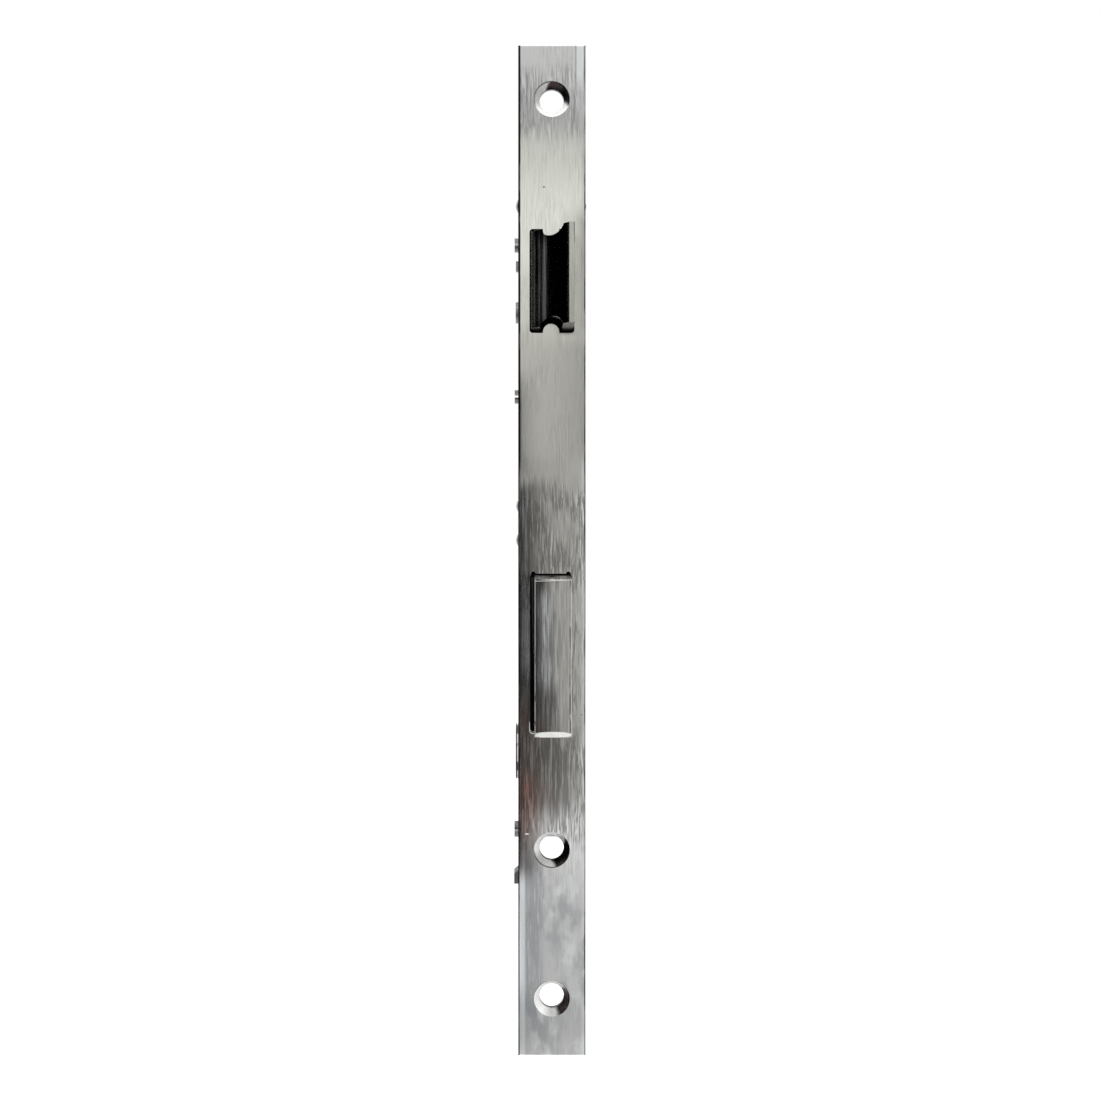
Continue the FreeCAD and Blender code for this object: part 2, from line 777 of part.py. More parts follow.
save_group("detent_pegs", [detent_peg(rear_detent_place), detent_peg(front_detent_place)])


# Compression springs: one unbroken wire, wound along Y, with a short straight end at each seat
def biarc(p0, t0, p1, t1):
    """Two tangent arcs that join p0, leaving along t0, to p1, arriving along t1."""
    chord = p1 - p0
    total = t0 + t1
    weight = 2 * (1 - t0.dot(t1))
    root = math.sqrt(chord.dot(total) ** 2 + weight * chord.dot(chord))
    reach = (root - chord.dot(total)) / weight
    joint = (p0 + p1 + (t0 - t1) * reach) * 0.5
    return [tangent_arc(p0, t0, joint), tangent_arc(p1, t1 * -1, joint)]


def tangent_arc(start, tangent, end):
    """The arc that leaves start along tangent and ends at end."""
    chord = end - start
    along = chord.dot(tangent)
    normal = chord - tangent * along
    across = normal.Length
    normal.normalize()
    radius = chord.dot(chord) / (2 * across)
    half_angle = math.atan2(across, along)
    middle = start + tangent * (radius * math.sin(half_angle))
    middle = middle + normal * (radius * (1 - math.cos(half_angle)))
    return Part.Arc(start, middle, end)


def helix_point(radius, pitch, y0, z0, angle):
    y = y0 + pitch * angle / (2 * math.pi)
    return vector(radius * math.cos(angle), y, z0 + radius * math.sin(angle))


def helix_tangent(radius, pitch, angle):
    slope = pitch / (2 * math.pi)
    tangent = vector(-radius * math.sin(angle), slope, radius * math.cos(angle))
    tangent.normalize()
    return tangent


def wound_spring(name, wire, radius, turns, y0, y1, z0):
    """A spring from y0 to y1 on an axis at height z0; prints its least gap to itself."""
    axial = vector(0, 1, 0)
    lead_rise = spring_lead_rise_in_wires * wire
    quarter = math.pi / 2
    coil_angle = 2 * math.pi * turns
    coil_y0 = y0 + wire + lead_rise
    coil_y1 = y1 - wire - lead_rise
    pitch = (coil_y1 - coil_y0) / turns
    start = vector(radius * math.cos(-quarter), y0, z0 + radius * math.sin(-quarter))
    lead_in = start + axial * wire
    end_angle = coil_angle + quarter
    end = vector(radius * math.cos(end_angle), y1, z0 + radius * math.sin(end_angle))
    lead_out = end - axial * wire
    curves = [Part.LineSegment(start, lead_in)]
    first = helix_point(radius, pitch, coil_y0, z0, 0)
    curves += biarc(lead_in, axial, first, helix_tangent(radius, pitch, 0))
    steps = int(round(turns * 4))
    for step in range(steps):
        a0 = coil_angle * step / steps
        a1 = coil_angle * (step + 1) / steps
        curves += biarc(
            helix_point(radius, pitch, coil_y0, z0, a0),
            helix_tangent(radius, pitch, a0),
            helix_point(radius, pitch, coil_y0, z0, a1),
            helix_tangent(radius, pitch, a1),
        )
    last = helix_point(radius, pitch, coil_y0, z0, coil_angle)
    curves += biarc(last, helix_tangent(radius, pitch, coil_angle), lead_out, axial)
    curves.append(Part.LineSegment(lead_out, end))
    spine = Part.Wire(Part.__sortEdges__([curve.toShape() for curve in curves]))
    section = Part.Wire(Part.makeCircle(wire / 2, start, axial))
    coil = Part.BRepOffsetAPI.MakePipeShell(spine)
    coil.add(section, False, False)
    coil.build()
    coil.makeSolid()
    save(name, coil.shape())
    print(name, "least gap to itself", round(least_gap(spine, wire), 2), "mm")


def least_gap(spine, wire):
    """The least distance between points of a wound wire that are over half a turn apart."""
    points = spine.discretize(Number=400)
    step = spine.Length / (len(points) - 1)
    apart = math.ceil(4 * wire / step)
    gaps = [
        points[i].distanceToPoint(points[j])
        for i in range(len(points))
        for j in range(i + apart, len(points))
    ]
    return min(gaps) - wire


wound_spring(
    "latch_spring",
    latch_spring_wire,
    latch_spring_mean_radius,
    latch_spring_turns,
    latch_head_depth + contact_gap,
    bracket_front_y,
    latch_z,
)
wound_spring(
    "follower_spring",
    follower_spring_wire,
    follower_spring_mean_radius,
    follower_spring_turns,
    plunger_bracket_rear_y,
    plunger_disc_front_y - contact_gap,
    lower_tip_z,
)

# Follower: a cast hub with a square hole, one arm up to the latch and one down to the plunger
arm_half = follower_arm_thickness / 2
hub_half = inner_half - follower_hub_play
boss_half = outer_half + follower_boss_beyond_case
upper_arm = link(
    backset, 0, arm_root_width / 2, upper_tip_y, upper_tip_z, arm_neck_width / 2, -arm_half, arm_half
)
lower_arm = link(
    backset, 0, arm_root_width / 2, lower_tip_y, lower_tip_z, arm_neck_width / 2, -arm_half, arm_half
)
follower = bar_x(follower_hub_diameter, -hub_half, hub_half, backset, 0).fuse(
    [
        bar_x(follower_boss_diameter, -boss_half, boss_half, backset, 0),
        upper_arm,
        lower_arm,
        bar_x(2 * arm_tip_radius, -arm_half, arm_half, upper_tip_y, upper_tip_z),
        bar_x(2 * arm_tip_radius, -arm_half, arm_half, lower_tip_y, lower_tip_z),
    ]
)
half_square = handle_spindle / 2 + spindle_gap
square_hole = block(
    -boss_half, boss_half, backset - half_square, backset + half_square, -half_square, half_square
)
save("follower", follower.cut(square_hole))


# Bearing rings of moulded plastic, pressed into the side sheets round each hub's bosses
def bearing_ring(outer, bore, x0, x1, z):
    ring = bar_x(outer, x0, x1, backset, z)
    return ring.cut(bar_x(bore, x0, x1, backset, z))


follower_ring_inner_x = hub_half + side_play
follower_ring_outer_x = outer_half + follower_ring_beyond_case
save_group(
    "follower_rings",
    [
        bearing_ring(follower_ring_diameter, ring_bore, x0, x1, 0)
        for x0, x1 in (
            (-follower_ring_outer_x, -follower_ring_inner_x),
            (follower_ring_inner_x, follower_ring_outer_x),
        )
    ],
)

# Plunger that the lower arm pushes forwards against the follower's spring
plunger_rod = bar_y(plunger_rod_diameter, plunger_rod_front_y, plunger_disc_front_y, 0, lower_tip_z)
plunger_disc = bar_y(
    plunger_disc_diameter, plunger_disc_front_y, plunger_disc_rear_y, 0, lower_tip_z
)
plunger_nub = bar_y(plunger_nub_diameter, plunger_disc_rear_y, plunger_nub_y, 0, lower_tip_z)
save("follower_plunger", plunger_rod.fuse([plunger_disc, plunger_nub]))
plunger_bracket = block(
    -inner_half,
    inner_half,
    plunger_bracket_front_y,
    plunger_bracket_rear_y,
    lower_tip_z - plunger_bracket_height / 2,
    lower_tip_z + plunger_bracket_height / 2,
)
plunger_hole = bar_y(
    plunger_rod_diameter + 2 * slide_gap,
    plunger_bracket_front_y,
    plunger_bracket_rear_y,
    0,
    lower_tip_z,
)
plunger_tabs = plunger_bracket_tab(-outer_half, outer_half).cut(plunger_hole)
save("plunger_bracket", plunger_bracket.cut(plunger_hole).fuse(plunger_tabs))

# Deadbolt head, its nose slightly crowned across its width and chamfered above and below
deadbolt_shoulder_y = deadbolt_crown - deadbolt_projection
nose_left = vector(-deadbolt_half, deadbolt_shoulder_y, deadbolt_bottom_z)
nose_middle = vector(0, -deadbolt_projection, deadbolt_bottom_z)
nose_right = vector(deadbolt_half, deadbolt_shoulder_y, deadbolt_bottom_z)
rear_right = vector(deadbolt_half, deadbolt_head_depth, deadbolt_bottom_z)
rear_left = vector(-deadbolt_half, deadbolt_head_depth, deadbolt_bottom_z)
deadbolt_edges = [Part.Arc(nose_left, nose_middle, nose_right).toShape()]
for start, end in ((nose_right, rear_right), (rear_right, rear_left), (rear_left, nose_left)):
    deadbolt_edges.append(Part.LineSegment(start, end).toShape())
deadbolt_head = Part.Face(Part.Wire(deadbolt_edges)).extrude(vector(0, 0, deadbolt_height))
deadbolt_head = fillet_edges(
    deadbolt_head,
    deadbolt_corner_radius,
    lambda centre, edge: is_near(centre.y, deadbolt_shoulder_y)
    and is_near(centre.z, deadbolt_z),
)


def nose_chamfer(edge_z, side, size):
    """What a 45 degree chamfer takes off the nose at its edge towards side (+1 up, -1 down)."""
    corners = [
        (-deadbolt_projection - cut_overrun, edge_z),
        (-deadbolt_projection - cut_overrun, edge_z - side * (size + cut_overrun)),
        (-deadbolt_projection + size, edge_z),
    ]
    return slab(corners, -deadbolt_half, deadbolt_half)


deadbolt_head = deadbolt_head.cut(
    [
        nose_chamfer(deadbolt_bottom_z, -1, deadbolt_lower_chamfer),
        nose_chamfer(deadbolt_top_z, 1, deadbolt_upper_chamfer),
    ]
)
deadbolt_rivet_places = [
    (deadbolt_head_depth - deadbolt_socket_depth / 2, deadbolt_top_z - deadbolt_rivet_inset),
    (deadbolt_head_depth - deadbolt_socket_depth / 2, deadbolt_bottom_z + deadbolt_rivet_inset),
]
deadbolt_rivets = [
    bar_x(deadbolt_rivet_diameter, -deadbolt_half, deadbolt_half, y, z)
    for y, z in deadbolt_rivet_places
]
tail_socket = block(
    -tail_half,
    tail_half,
    deadbolt_tail_front_y,
    deadbolt_head_depth,
    deadbolt_tail_bottom_z,
    deadbolt_tail_top_z,
)
save("deadbolt_head", deadbolt_head.cut([tail_socket] + deadbolt_rivets))
save_group("deadbolt_rivets", deadbolt_rivets)

# Detent strip: its straight run passes over the rear peg and under the front peg
peg_radius = detent_peg_diameter / 2
strip_offset = peg_radius + detent_strip_thickness / 2 + bearing_gap
run_y = front_detent_place[0] - rear_detent_place[0]
run_z = front_detent_place[1] - rear_detent_place[1]
peg_distance = math.hypot(run_y, run_z)
normal_angle = math.atan2(run_z, run_y) - math.acos(2 * strip_offset / peg_distance)
normal_y = math.cos(normal_angle)
normal_z = math.sin(normal_angle)
strip_level = normal_y * rear_detent_place[0] + normal_z * rear_detent_place[1] + strip_offset


def strip_y_at(z):
    """Where the strip's straight run is at height z."""
    return (strip_level - normal_z * z) / normal_y


def strip_z_at(y):
    """How high the strip's straight run is at depth y."""
    return (strip_level - normal_y * y) / normal_z


notch_bottom_z = deadbolt_tail_top_z - detent_notch_depth
detent_nose_z = notch_bottom_z + detent_nose_gap + detent_strip_thickness / 2
detent_nose_y = strip_y_at(detent_nose_z)

# Deadbolt tail: a flat plate with a guide slot, two detent notches and a fork for the crank pin
deadbolt_tail = block(
    -tail_half,
    tail_half,
    deadbolt_tail_front_y,
    deadbolt_tail_rear_y,
    deadbolt_tail_bottom_z,
    deadbolt_tail_top_z,
)
prong_half = crank_slot_half + deadbolt_prong_width
tail_lug = block(
    -tail_half,
    tail_half,
    crank_pin_y - prong_half,
    crank_pin_y + prong_half,
    prong_end_z,
    deadbolt_tail_bottom_z,
)
crank_slot = block(
    -tail_half,
    tail_half,
    crank_pin_y - crank_slot_half,
    crank_pin_y + crank_slot_half,
    prong_end_z,
    crank_slot_top_z,
)
guide_half = bolt_peg_diameter / 2 + slide_gap
guide_slot = block(
    -tail_half,
    tail_half,
    bolt_peg_y - deadbolt_travel,
    bolt_peg_y,
    deadbolt_z - guide_half,
    deadbolt_z + guide_half,
)
guide_ends = [
    bar_x(2 * guide_half, -tail_half, tail_half, y, deadbolt_z)
    for y in (bolt_peg_y - deadbolt_travel, bolt_peg_y)
]


def detent_notch(y):
    corners = [
        (y - detent_notch_half_width, deadbolt_tail_top_z),
        (y, notch_bottom_z),
        (y + detent_notch_half_width, deadbolt_tail_top_z),
    ]
    return slab(corners, -tail_half, tail_half)


notches = [detent_notch(detent_nose_y), detent_notch(detent_nose_y - deadbolt_travel)]
save(
    "deadbolt_tail",
    deadbolt_tail.fuse(tail_lug).cut([crank_slot, guide_slot] + guide_ends + notches + deadbolt_rivets),
)

# Turn hub: a barrel in the deadbolt's plane, two cheeks that carry the crank pin, and two bosses
cheek_inner_x = tail_half + side_play
cheek_outer_x = cheek_inner_x + turn_cheek_thickness
turn_boss_half = outer_half + turn_boss_beyond_case
turn_hub = bar_x(turn_barrel_diameter, -cheek_inner_x, cheek_inner_x, backset, turn_z)
pin_eye_radius = crank_pin_radius + crank_pin_wall
for x0, x1 in ((-cheek_outer_x, -cheek_inner_x), (cheek_inner_x, cheek_outer_x)):
    cheek = bar_x(2 * turn_cheek_radius, x0, x1, backset, turn_z).fuse(
        [
            bar_x(2 * pin_eye_radius, x0, x1, crank_pin_y, crank_pin_z),
            link(
                backset, turn_z, turn_cheek_radius, crank_pin_y, crank_pin_z, pin_eye_radius, x0, x1
            ),
        ]
    )
    turn_hub = turn_hub.fuse(cheek)
for x0, x1 in ((-turn_boss_half, -cheek_outer_x), (cheek_outer_x, turn_boss_half)):
    turn_hub = turn_hub.fuse(bar_x(turn_boss_diameter, x0, x1, backset, turn_z))
half_turn_square = turn_spindle / 2 + spindle_gap
turn_hole = block(
    -turn_boss_half,
    turn_boss_half,
    backset - half_turn_square,
    backset + half_turn_square,
    turn_z - half_turn_square,
    turn_z + half_turn_square,
)
crank_pin = bar_x(crank_pin_diameter, -cheek_outer_x, cheek_outer_x, crank_pin_y, crank_pin_z)
save("turn_hub", turn_hub.cut([turn_hole, crank_pin]))
save("turn_crank_pin", crank_pin)

turn_ring_inner_x = cheek_outer_x + side_play
turn_ring_bore = turn_boss_diameter + 2 * bearing_gap
save_group(
    "turn_hub_rings",
    [
        bearing_ring(turn_ring_diameter, turn_ring_bore, x0, x1, turn_z)
        for x0, x1 in (
            (-turn_boss_half, -turn_ring_inner_x),
            (turn_ring_inner_x, turn_boss_half),
        )
    ],
)


# Detent spring: a strip hooked behind the rear peg, with a bent nose in the deadbolt's notch
def strip_run(start, end, half_width):
    half_thickness = detent_strip_thickness / 2
    return link(
        start[0], start[1], half_thickness, end[0], end[1], half_thickness, -half_width, half_width
    )


hook_y = rear_detent_place[0] + strip_offset
strip_corners = [
    (hook_y, rear_detent_place[1] - peg_radius),
    (hook_y, strip_z_at(hook_y)),
    (detent_nose_y, detent_nose_z),
    (detent_nose_y - detent_nose_rise, detent_nose_z + detent_nose_rise),
]
strip_half = detent_strip_width / 2
detent_spring = strip_run(strip_corners[0], strip_corners[1], strip_half)
for start, end in zip(strip_corners[1:], strip_corners[2:]):
    bend = bar_x(detent_strip_thickness, -strip_half, strip_half, start[0], start[1])
    detent_spring = detent_spring.fuse([bend, strip_run(start, end, strip_half)])
save("detent_spring", detent_spring)

print("handle turns", round(math.degrees(2 * half_swing), 3), "degrees")
print("latch travel", latch_travel, "plunger travel", round(plunger_travel, 4))
print("deadbolt travel", round(deadbolt_travel, 4), "crank radius", round(crank_radius, 4))
print("turn hub height", round(turn_z, 3), "plunger height", round(lower_tip_z, 3))
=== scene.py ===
import math

import bmesh
import bpy
from mathutils import Matrix, Vector


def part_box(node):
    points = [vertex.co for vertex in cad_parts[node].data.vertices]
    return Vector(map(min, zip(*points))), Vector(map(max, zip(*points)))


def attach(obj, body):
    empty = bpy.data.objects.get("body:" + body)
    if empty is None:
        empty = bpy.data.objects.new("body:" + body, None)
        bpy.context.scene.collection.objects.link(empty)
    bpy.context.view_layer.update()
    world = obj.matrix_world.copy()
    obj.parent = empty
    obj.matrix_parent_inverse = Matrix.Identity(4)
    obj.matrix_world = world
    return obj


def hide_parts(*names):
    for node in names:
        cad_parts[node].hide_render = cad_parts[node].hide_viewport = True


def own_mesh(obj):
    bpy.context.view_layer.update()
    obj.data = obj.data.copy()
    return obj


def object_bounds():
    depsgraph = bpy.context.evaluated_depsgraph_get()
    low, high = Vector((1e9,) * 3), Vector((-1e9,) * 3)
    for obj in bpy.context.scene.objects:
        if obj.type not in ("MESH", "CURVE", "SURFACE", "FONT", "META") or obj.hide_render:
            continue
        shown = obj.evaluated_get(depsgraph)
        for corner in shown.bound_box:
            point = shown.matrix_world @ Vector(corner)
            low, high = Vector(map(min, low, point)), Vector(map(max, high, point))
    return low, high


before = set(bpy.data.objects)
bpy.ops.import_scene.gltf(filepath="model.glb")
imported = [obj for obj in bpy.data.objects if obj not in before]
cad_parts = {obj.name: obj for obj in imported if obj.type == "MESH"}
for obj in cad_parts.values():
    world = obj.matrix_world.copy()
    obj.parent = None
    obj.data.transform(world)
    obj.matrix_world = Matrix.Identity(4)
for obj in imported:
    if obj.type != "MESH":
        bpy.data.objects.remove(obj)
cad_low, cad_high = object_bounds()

# Faceplate
# A strip of nickel-plated steel, punched and countersunk, then brushed along its length.
# Everything else is built up behind it, and three wood screws hold it in the door's edge.


class Value:
    """A node's output, on which arithmetic adds Math nodes."""

    def __init__(self, nodes, socket):
        self.nodes = nodes
        self.socket = socket

    def maths(self, operation, first, second=0.0):
        return self.nodes.add("ShaderNodeMath", {"operation": operation}, {0: first, 1: second})

    def __add__(self, other):
        return self.maths("ADD", self, other)

    def __sub__(self, other):
        return self.maths("SUBTRACT", self, other)

    def __rsub__(self, other):
        return self.maths("SUBTRACT", other, self)

    def __mul__(self, other):
        return self.maths("MULTIPLY", self, other)

    def __truediv__(self, other):
        return self.maths("DIVIDE", self, other)

    def __pow__(self, other):
        return self.maths("POWER", self, other)

    __radd__ = __add__
    __rmul__ = __mul__


class Nodes:
    """A node tree that is written node by node."""

    def __init__(self, tree):
        self.tree = tree
        tree.nodes.clear()

    def add(self, kind, settings, inputs, output=0):
        made = self.tree.nodes.new(kind)
        for name, value in settings.items():
            setattr(made, name, value)
        for name, value in inputs.items():
            if isinstance(value, Value):
                self.tree.links.new(value.socket, made.inputs[name])
            else:
                made.inputs[name].default_value = value
        return Value(self, made.outputs[output]) if made.outputs else None

    def place(self):
        return self.add("ShaderNodeTexCoord", {}, {}, "Object")

    def parts(self, vector):
        return [self.add("ShaderNodeSeparateXYZ", {}, {"Vector": vector}, axis) for axis in "XYZ"]

    def step(self, value, low, high):
        """0 below low and 1 above high, with a smooth rise between"""
        return self.add(
            "ShaderNodeMapRange",
            {"interpolation_type": "SMOOTHSTEP"},
            {"Value": value, "From Min": low, "From Max": high},
        )

    def band(self, value, low, high, soft):
        """1 from low to high, fading to 0 over soft at both ends"""
        rise = self.step(value, low - soft, low)
        fall = self.step(value, high, high + soft)
        return rise * (1 - fall)

    def grain(self, place, size, seed, detail=2.0):
        """Noise from about 0.25 to 0.75, in grains of the given length along each axis"""
        scale = tuple(1 / length for length in size)
        mapping = {"Vector": place, "Location": (seed, seed, seed), "Scale": scale}
        stretched = self.add("ShaderNodeMapping", {}, mapping)
        return self.add(
            "ShaderNodeTexNoise", {}, {"Vector": stretched, "Scale": 1.0, "Detail": detail}
        )

    def mixed(self, share, first, second):
        """first where share is 0 and second where it is 1"""
        mix_inputs = {0: share, 6: first, 7: second}
        return self.add("ShaderNodeMix", {"data_type": "RGBA"}, mix_inputs, 2)

    def turned(self, across, up, off_centre, angle):
        """The cosine and sine of the direction from a centre, measured from an angle"""
        cosine, sine = math.cos(math.radians(angle)), math.sin(math.radians(angle))
        toward = (across * cosine + up * sine) / off_centre
        return toward, (up * cosine - across * sine) / off_centre

    def span(self, across, up):
        """The distance from a point, from the distances along two axes"""
        return (across * across + up * up) ** 0.5

    def raised(self, height, depth, under=None):
        """The normal of a surface that height from 0 to 1 raises by depth, over an under relief"""
        inputs = {"Height": height, "Distance": depth, "Strength": 1.0}
        if under:
            inputs["Normal"] = under
        return self.add("ShaderNodeBump", {}, inputs)

    def surface(self, **sockets):
        named = {name.replace("_", " "): value for name, value in sockets.items()}
        shader = self.add("ShaderNodeBsdfPrincipled", {}, named)
        self.add("ShaderNodeOutputMaterial", {}, {"Surface": shader})


def finish(name):
    """A new material and its empty node tree"""
    material = bpy.data.materials.new(name)
    material.use_nodes = True
    return material, Nodes(material.node_tree)


def dress(material, *names):
    """Puts the material on CAD nodes that keep their own shape"""
    for name in names:
        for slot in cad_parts[name].material_slots:
            slot.material = material


plate_low, plate_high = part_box("faceplate")
latch_low, latch_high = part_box("latch_head")
bolt_low, bolt_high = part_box("deadbolt_head")

nickel_colour = (0.745, 0.74, 0.72, 1)
brushed_dark_colour = (0.40, 0.395, 0.385, 1)
bright_scratch_colour = (0.97, 0.97, 0.97, 1)
handled_colour = (0.48, 0.49, 0.50, 1)
pale_and_highlight_colour = (0.92, 0.93, 0.94, 1)
painted_shade_and_speck_colour = (0.03, 0.03, 0.03, 1)
painted_highlight_and_nick_colour = (0.87, 0.875, 0.88, 1)
countersunk_colour = (0.62, 0.62, 0.605, 1)
painted_highlight_wall_colour = (0.99, 0.99, 0.985, 1)
painted_black_colour = (0.010, 0.009, 0.009, 1)
dark_brown_colour = (0.07, 0.05, 0.05, 1)
brush_width = 0.00028
brush_length = 0.0048
scratch_width = 0.00040
scratch_length = 0.0055
blotch_size = 0.0032
waviness_size = 0.011
smear_width = 0.009
smear_length = 0.013
patch_width = 0.006
patch_length = 0.010
furrow_width = 0.00042
furrow_length = 0.0090
opening_side = 0.0062
edge_roll_width = 0.0011
edge_line_width = 0.00038
hole_radius = 0.0029
countersink_radius = 0.00425
wall_front = 0.00003
wall_rear = 0.00285
bore_front = 0.00192
speck_place = (-0.0019, 0.0533)
low_speck_place = (0.0071, -0.0720)
speck_radius = 0.00022
nick_place = (-0.0059, -0.1003)
nick_length = 0.0006
nick_radius = 0.00018
corner_highlight_radius = 0.00078
highlight_foot_height = 0.0745
highlight_full_height = 0.080

# Each countersunk hole: its height, then angles round it in degrees from the right side: the
# middle and half of the wall's painted black reflection, how far its ends twist toward the bore,
# the middle of the wall's painted white highlight, and the middle of the rim's painted thin dark
# line.
screw_holes = [
    (plate_high.z - 0.0128, 38, 58, 0.35, -90, 135),
    (plate_low.z + 0.0489, -18, 56, -0.35, 130, -110),
    (plate_low.z + 0.0136, -15, 52, 0.0, 180, 90),
]


def brushed_plate():
    material, nodes = finish("faceplate_nickel_finish")
    place = nodes.place()
    x, y, z = nodes.parts(place)
    brush = nodes.grain(place, (brush_width, brush_width, brush_length), 0.0, 2.0)
    scratch = nodes.grain(place, (scratch_width, scratch_width, scratch_length), 7.3, 2.0)
    blotch = nodes.grain(place, (blotch_size, blotch_size, blotch_size * 2), 3.1, 4.0)
    cloud = nodes.grain(place, (smear_width, smear_width, smear_length), 6.4, 2.0)
    wave = nodes.grain(place, (waviness_size, waviness_size, waviness_size), 8.8, 1.0)
    patch = nodes.grain(place, (patch_width, patch_width, patch_length), 1.9, 2.0)
    furrow = nodes.grain(place, (furrow_width, furrow_width, furrow_length), 4.7, 1.0)

    # How strongly the brushing shows, by zones down the plate, and where hands have dulled it
    worn_top = nodes.band(z, plate_high.z - 0.020, plate_high.z - 0.007, 0.0035)
    worn_middle = nodes.band(z, bolt_high.z - 0.002, bolt_high.z + 0.018, 0.007)
    worn_bolt = nodes.band(z, bolt_low.z - 0.002, bolt_high.z - 0.002, 0.004)
    worn_low = nodes.band(z, bolt_low.z - 0.026, bolt_low.z - 0.006, 0.004)
    worn_foot = nodes.band(z, plate_low.z + 0.012, bolt_low.z - 0.034, 0.006)
    worn_foot = worn_foot * nodes.band(x, -0.0058, -0.0036, 0.0024)
    worn_bolt = worn_bolt * (1 - 0.7 * nodes.step(x, 0.0056, 0.0066))
    worn = 0.6 * worn_top + worn_middle + 0.7 * worn_bolt + worn_low + 0.6 * worn_foot
    worn = (0.18 + 0.9 * worn) * (0.35 + nodes.step(patch, 0.35, 0.6))
    handled = nodes.step(z, bolt_low.z - 0.024, bolt_low.z - 0.040)
    furrowed = nodes.band(z, bolt_low.z - 0.020, bolt_low.z - 0.003, 0.003)
    furrowed = furrowed * nodes.step(x, 0.0062, 0.0035)
    furrowed_side = nodes.band(z, bolt_high.z + 0.001, bolt_high.z + 0.022, 0.003)
    furrowed = furrowed_side * nodes.step(x, -0.0040, -0.0058) + furrowed
    streak = nodes.step(brush, 0.42, 0.60)
    deep_scratch = nodes.step(scratch, 0.56, 0.64)
    bright_scratch = nodes.step(scratch, 0.42, 0.36)
    smear = nodes.step(blotch, 0.44, 0.62) * nodes.step(cloud, 0.40, 0.58)
    wiped = nodes.step(blotch, 0.50, 0.36) * nodes.step(patch, 0.40, 0.60)
    colour = nodes.mixed(streak * worn * 0.95, nickel_colour, brushed_dark_colour)
    colour = nodes.mixed(deep_scratch * worn * 0.85, colour, brushed_dark_colour)
    colour = nodes.mixed(bright_scratch * worn * 0.75, colour, bright_scratch_colour)
    dark_furrow = nodes.step(furrow, 0.51, 0.60) * furrowed * 0.75
    bright_furrow = nodes.step(furrow, 0.47, 0.38) * furrowed * 0.8
    colour = nodes.mixed(dark_furrow, colour, brushed_dark_colour)
    colour = nodes.mixed(bright_furrow, colour, bright_scratch_colour)
    # A painted highlight strip just in from the left edge at the plate's foot
    painted_foot_edge_highlight = nodes.band(x, -0.0076, -0.0067, 0.0006) * nodes.step(z, -0.101, -0.107)
    foot_smear = worn_foot * (0.5 + 0.5 * nodes.step(furrow, 0.44, 0.56))
    colour = nodes.mixed(smear * handled * 0.8 + 0.9 * foot_smear, colour, handled_colour)
    colour = nodes.mixed(wiped * handled * 0.7 + painted_foot_edge_highlight, colour, pale_and_highlight_colour)

    # The countersunk holes' walls, with painted light and shade: a black reflection on one side
    # and in the bore, a white highlight on the other, and a thin dark line on the rim
    walls = nodes.band(y, wall_front, wall_rear, 0.00004)
    bore = nodes.step(y, bore_front, bore_front + 0.0001)
    painted_dark_wall = 0.0
    bright_wall = 0.0
    painted_white_highlight = 0.0
    for hole in screw_holes:
        hole_height, middle_angle, half_angle, twist, white_angle, line_angle = hole
        up = z - hole_height
        off_hole = nodes.span(x, up)
        wall = nodes.step(off_hole, countersink_radius + 0.0001, countersink_radius) * walls
        toward, onward = nodes.turned(x, up, off_hole, middle_angle)
        limit = math.cos(math.radians(half_angle))
        inward = (countersink_radius - off_hole) / (countersink_radius - hole_radius)
        reach = toward + 0.5 * (blotch - 0.5) + twist * onward * inward
        black = nodes.step(reach, limit - 0.14, limit + 0.16)
        black = black.maths("MAXIMUM", black, 0.9 * bore)
        painted_dark_rim = nodes.band(off_hole, countersink_radius - 0.00016, countersink_radius, 0.00008)
        lined = nodes.turned(x, up, off_hole, line_angle)[0]
        painted_dark_rim = painted_dark_rim * nodes.step(lined, 0.25, 0.6) * nodes.step(patch + 0.3 * blotch, 0.46, 0.64)
        whitened = nodes.turned(x, up, off_hole, white_angle)[0]
        painted_white_highlight = wall * (1 - black) * nodes.step(whitened, 0.0, 0.7) + painted_white_highlight
        painted_dark_wall = wall * black + 0.8 * painted_dark_rim * (1 - black) + painted_dark_wall
        bright_wall = wall * (1 - black) + bright_wall
    colour = nodes.mixed(bright_wall, colour, countersunk_colour)
    colour = nodes.mixed(painted_white_highlight, colour, painted_highlight_wall_colour)
    # The painted black is patched with dark brown
    painted_dark_colour = nodes.mixed(nodes.step(blotch, 0.50, 0.62) * 0.7, painted_black_colour, dark_brown_colour)
    colour = nodes.mixed(painted_dark_wall, colour, painted_dark_colour)

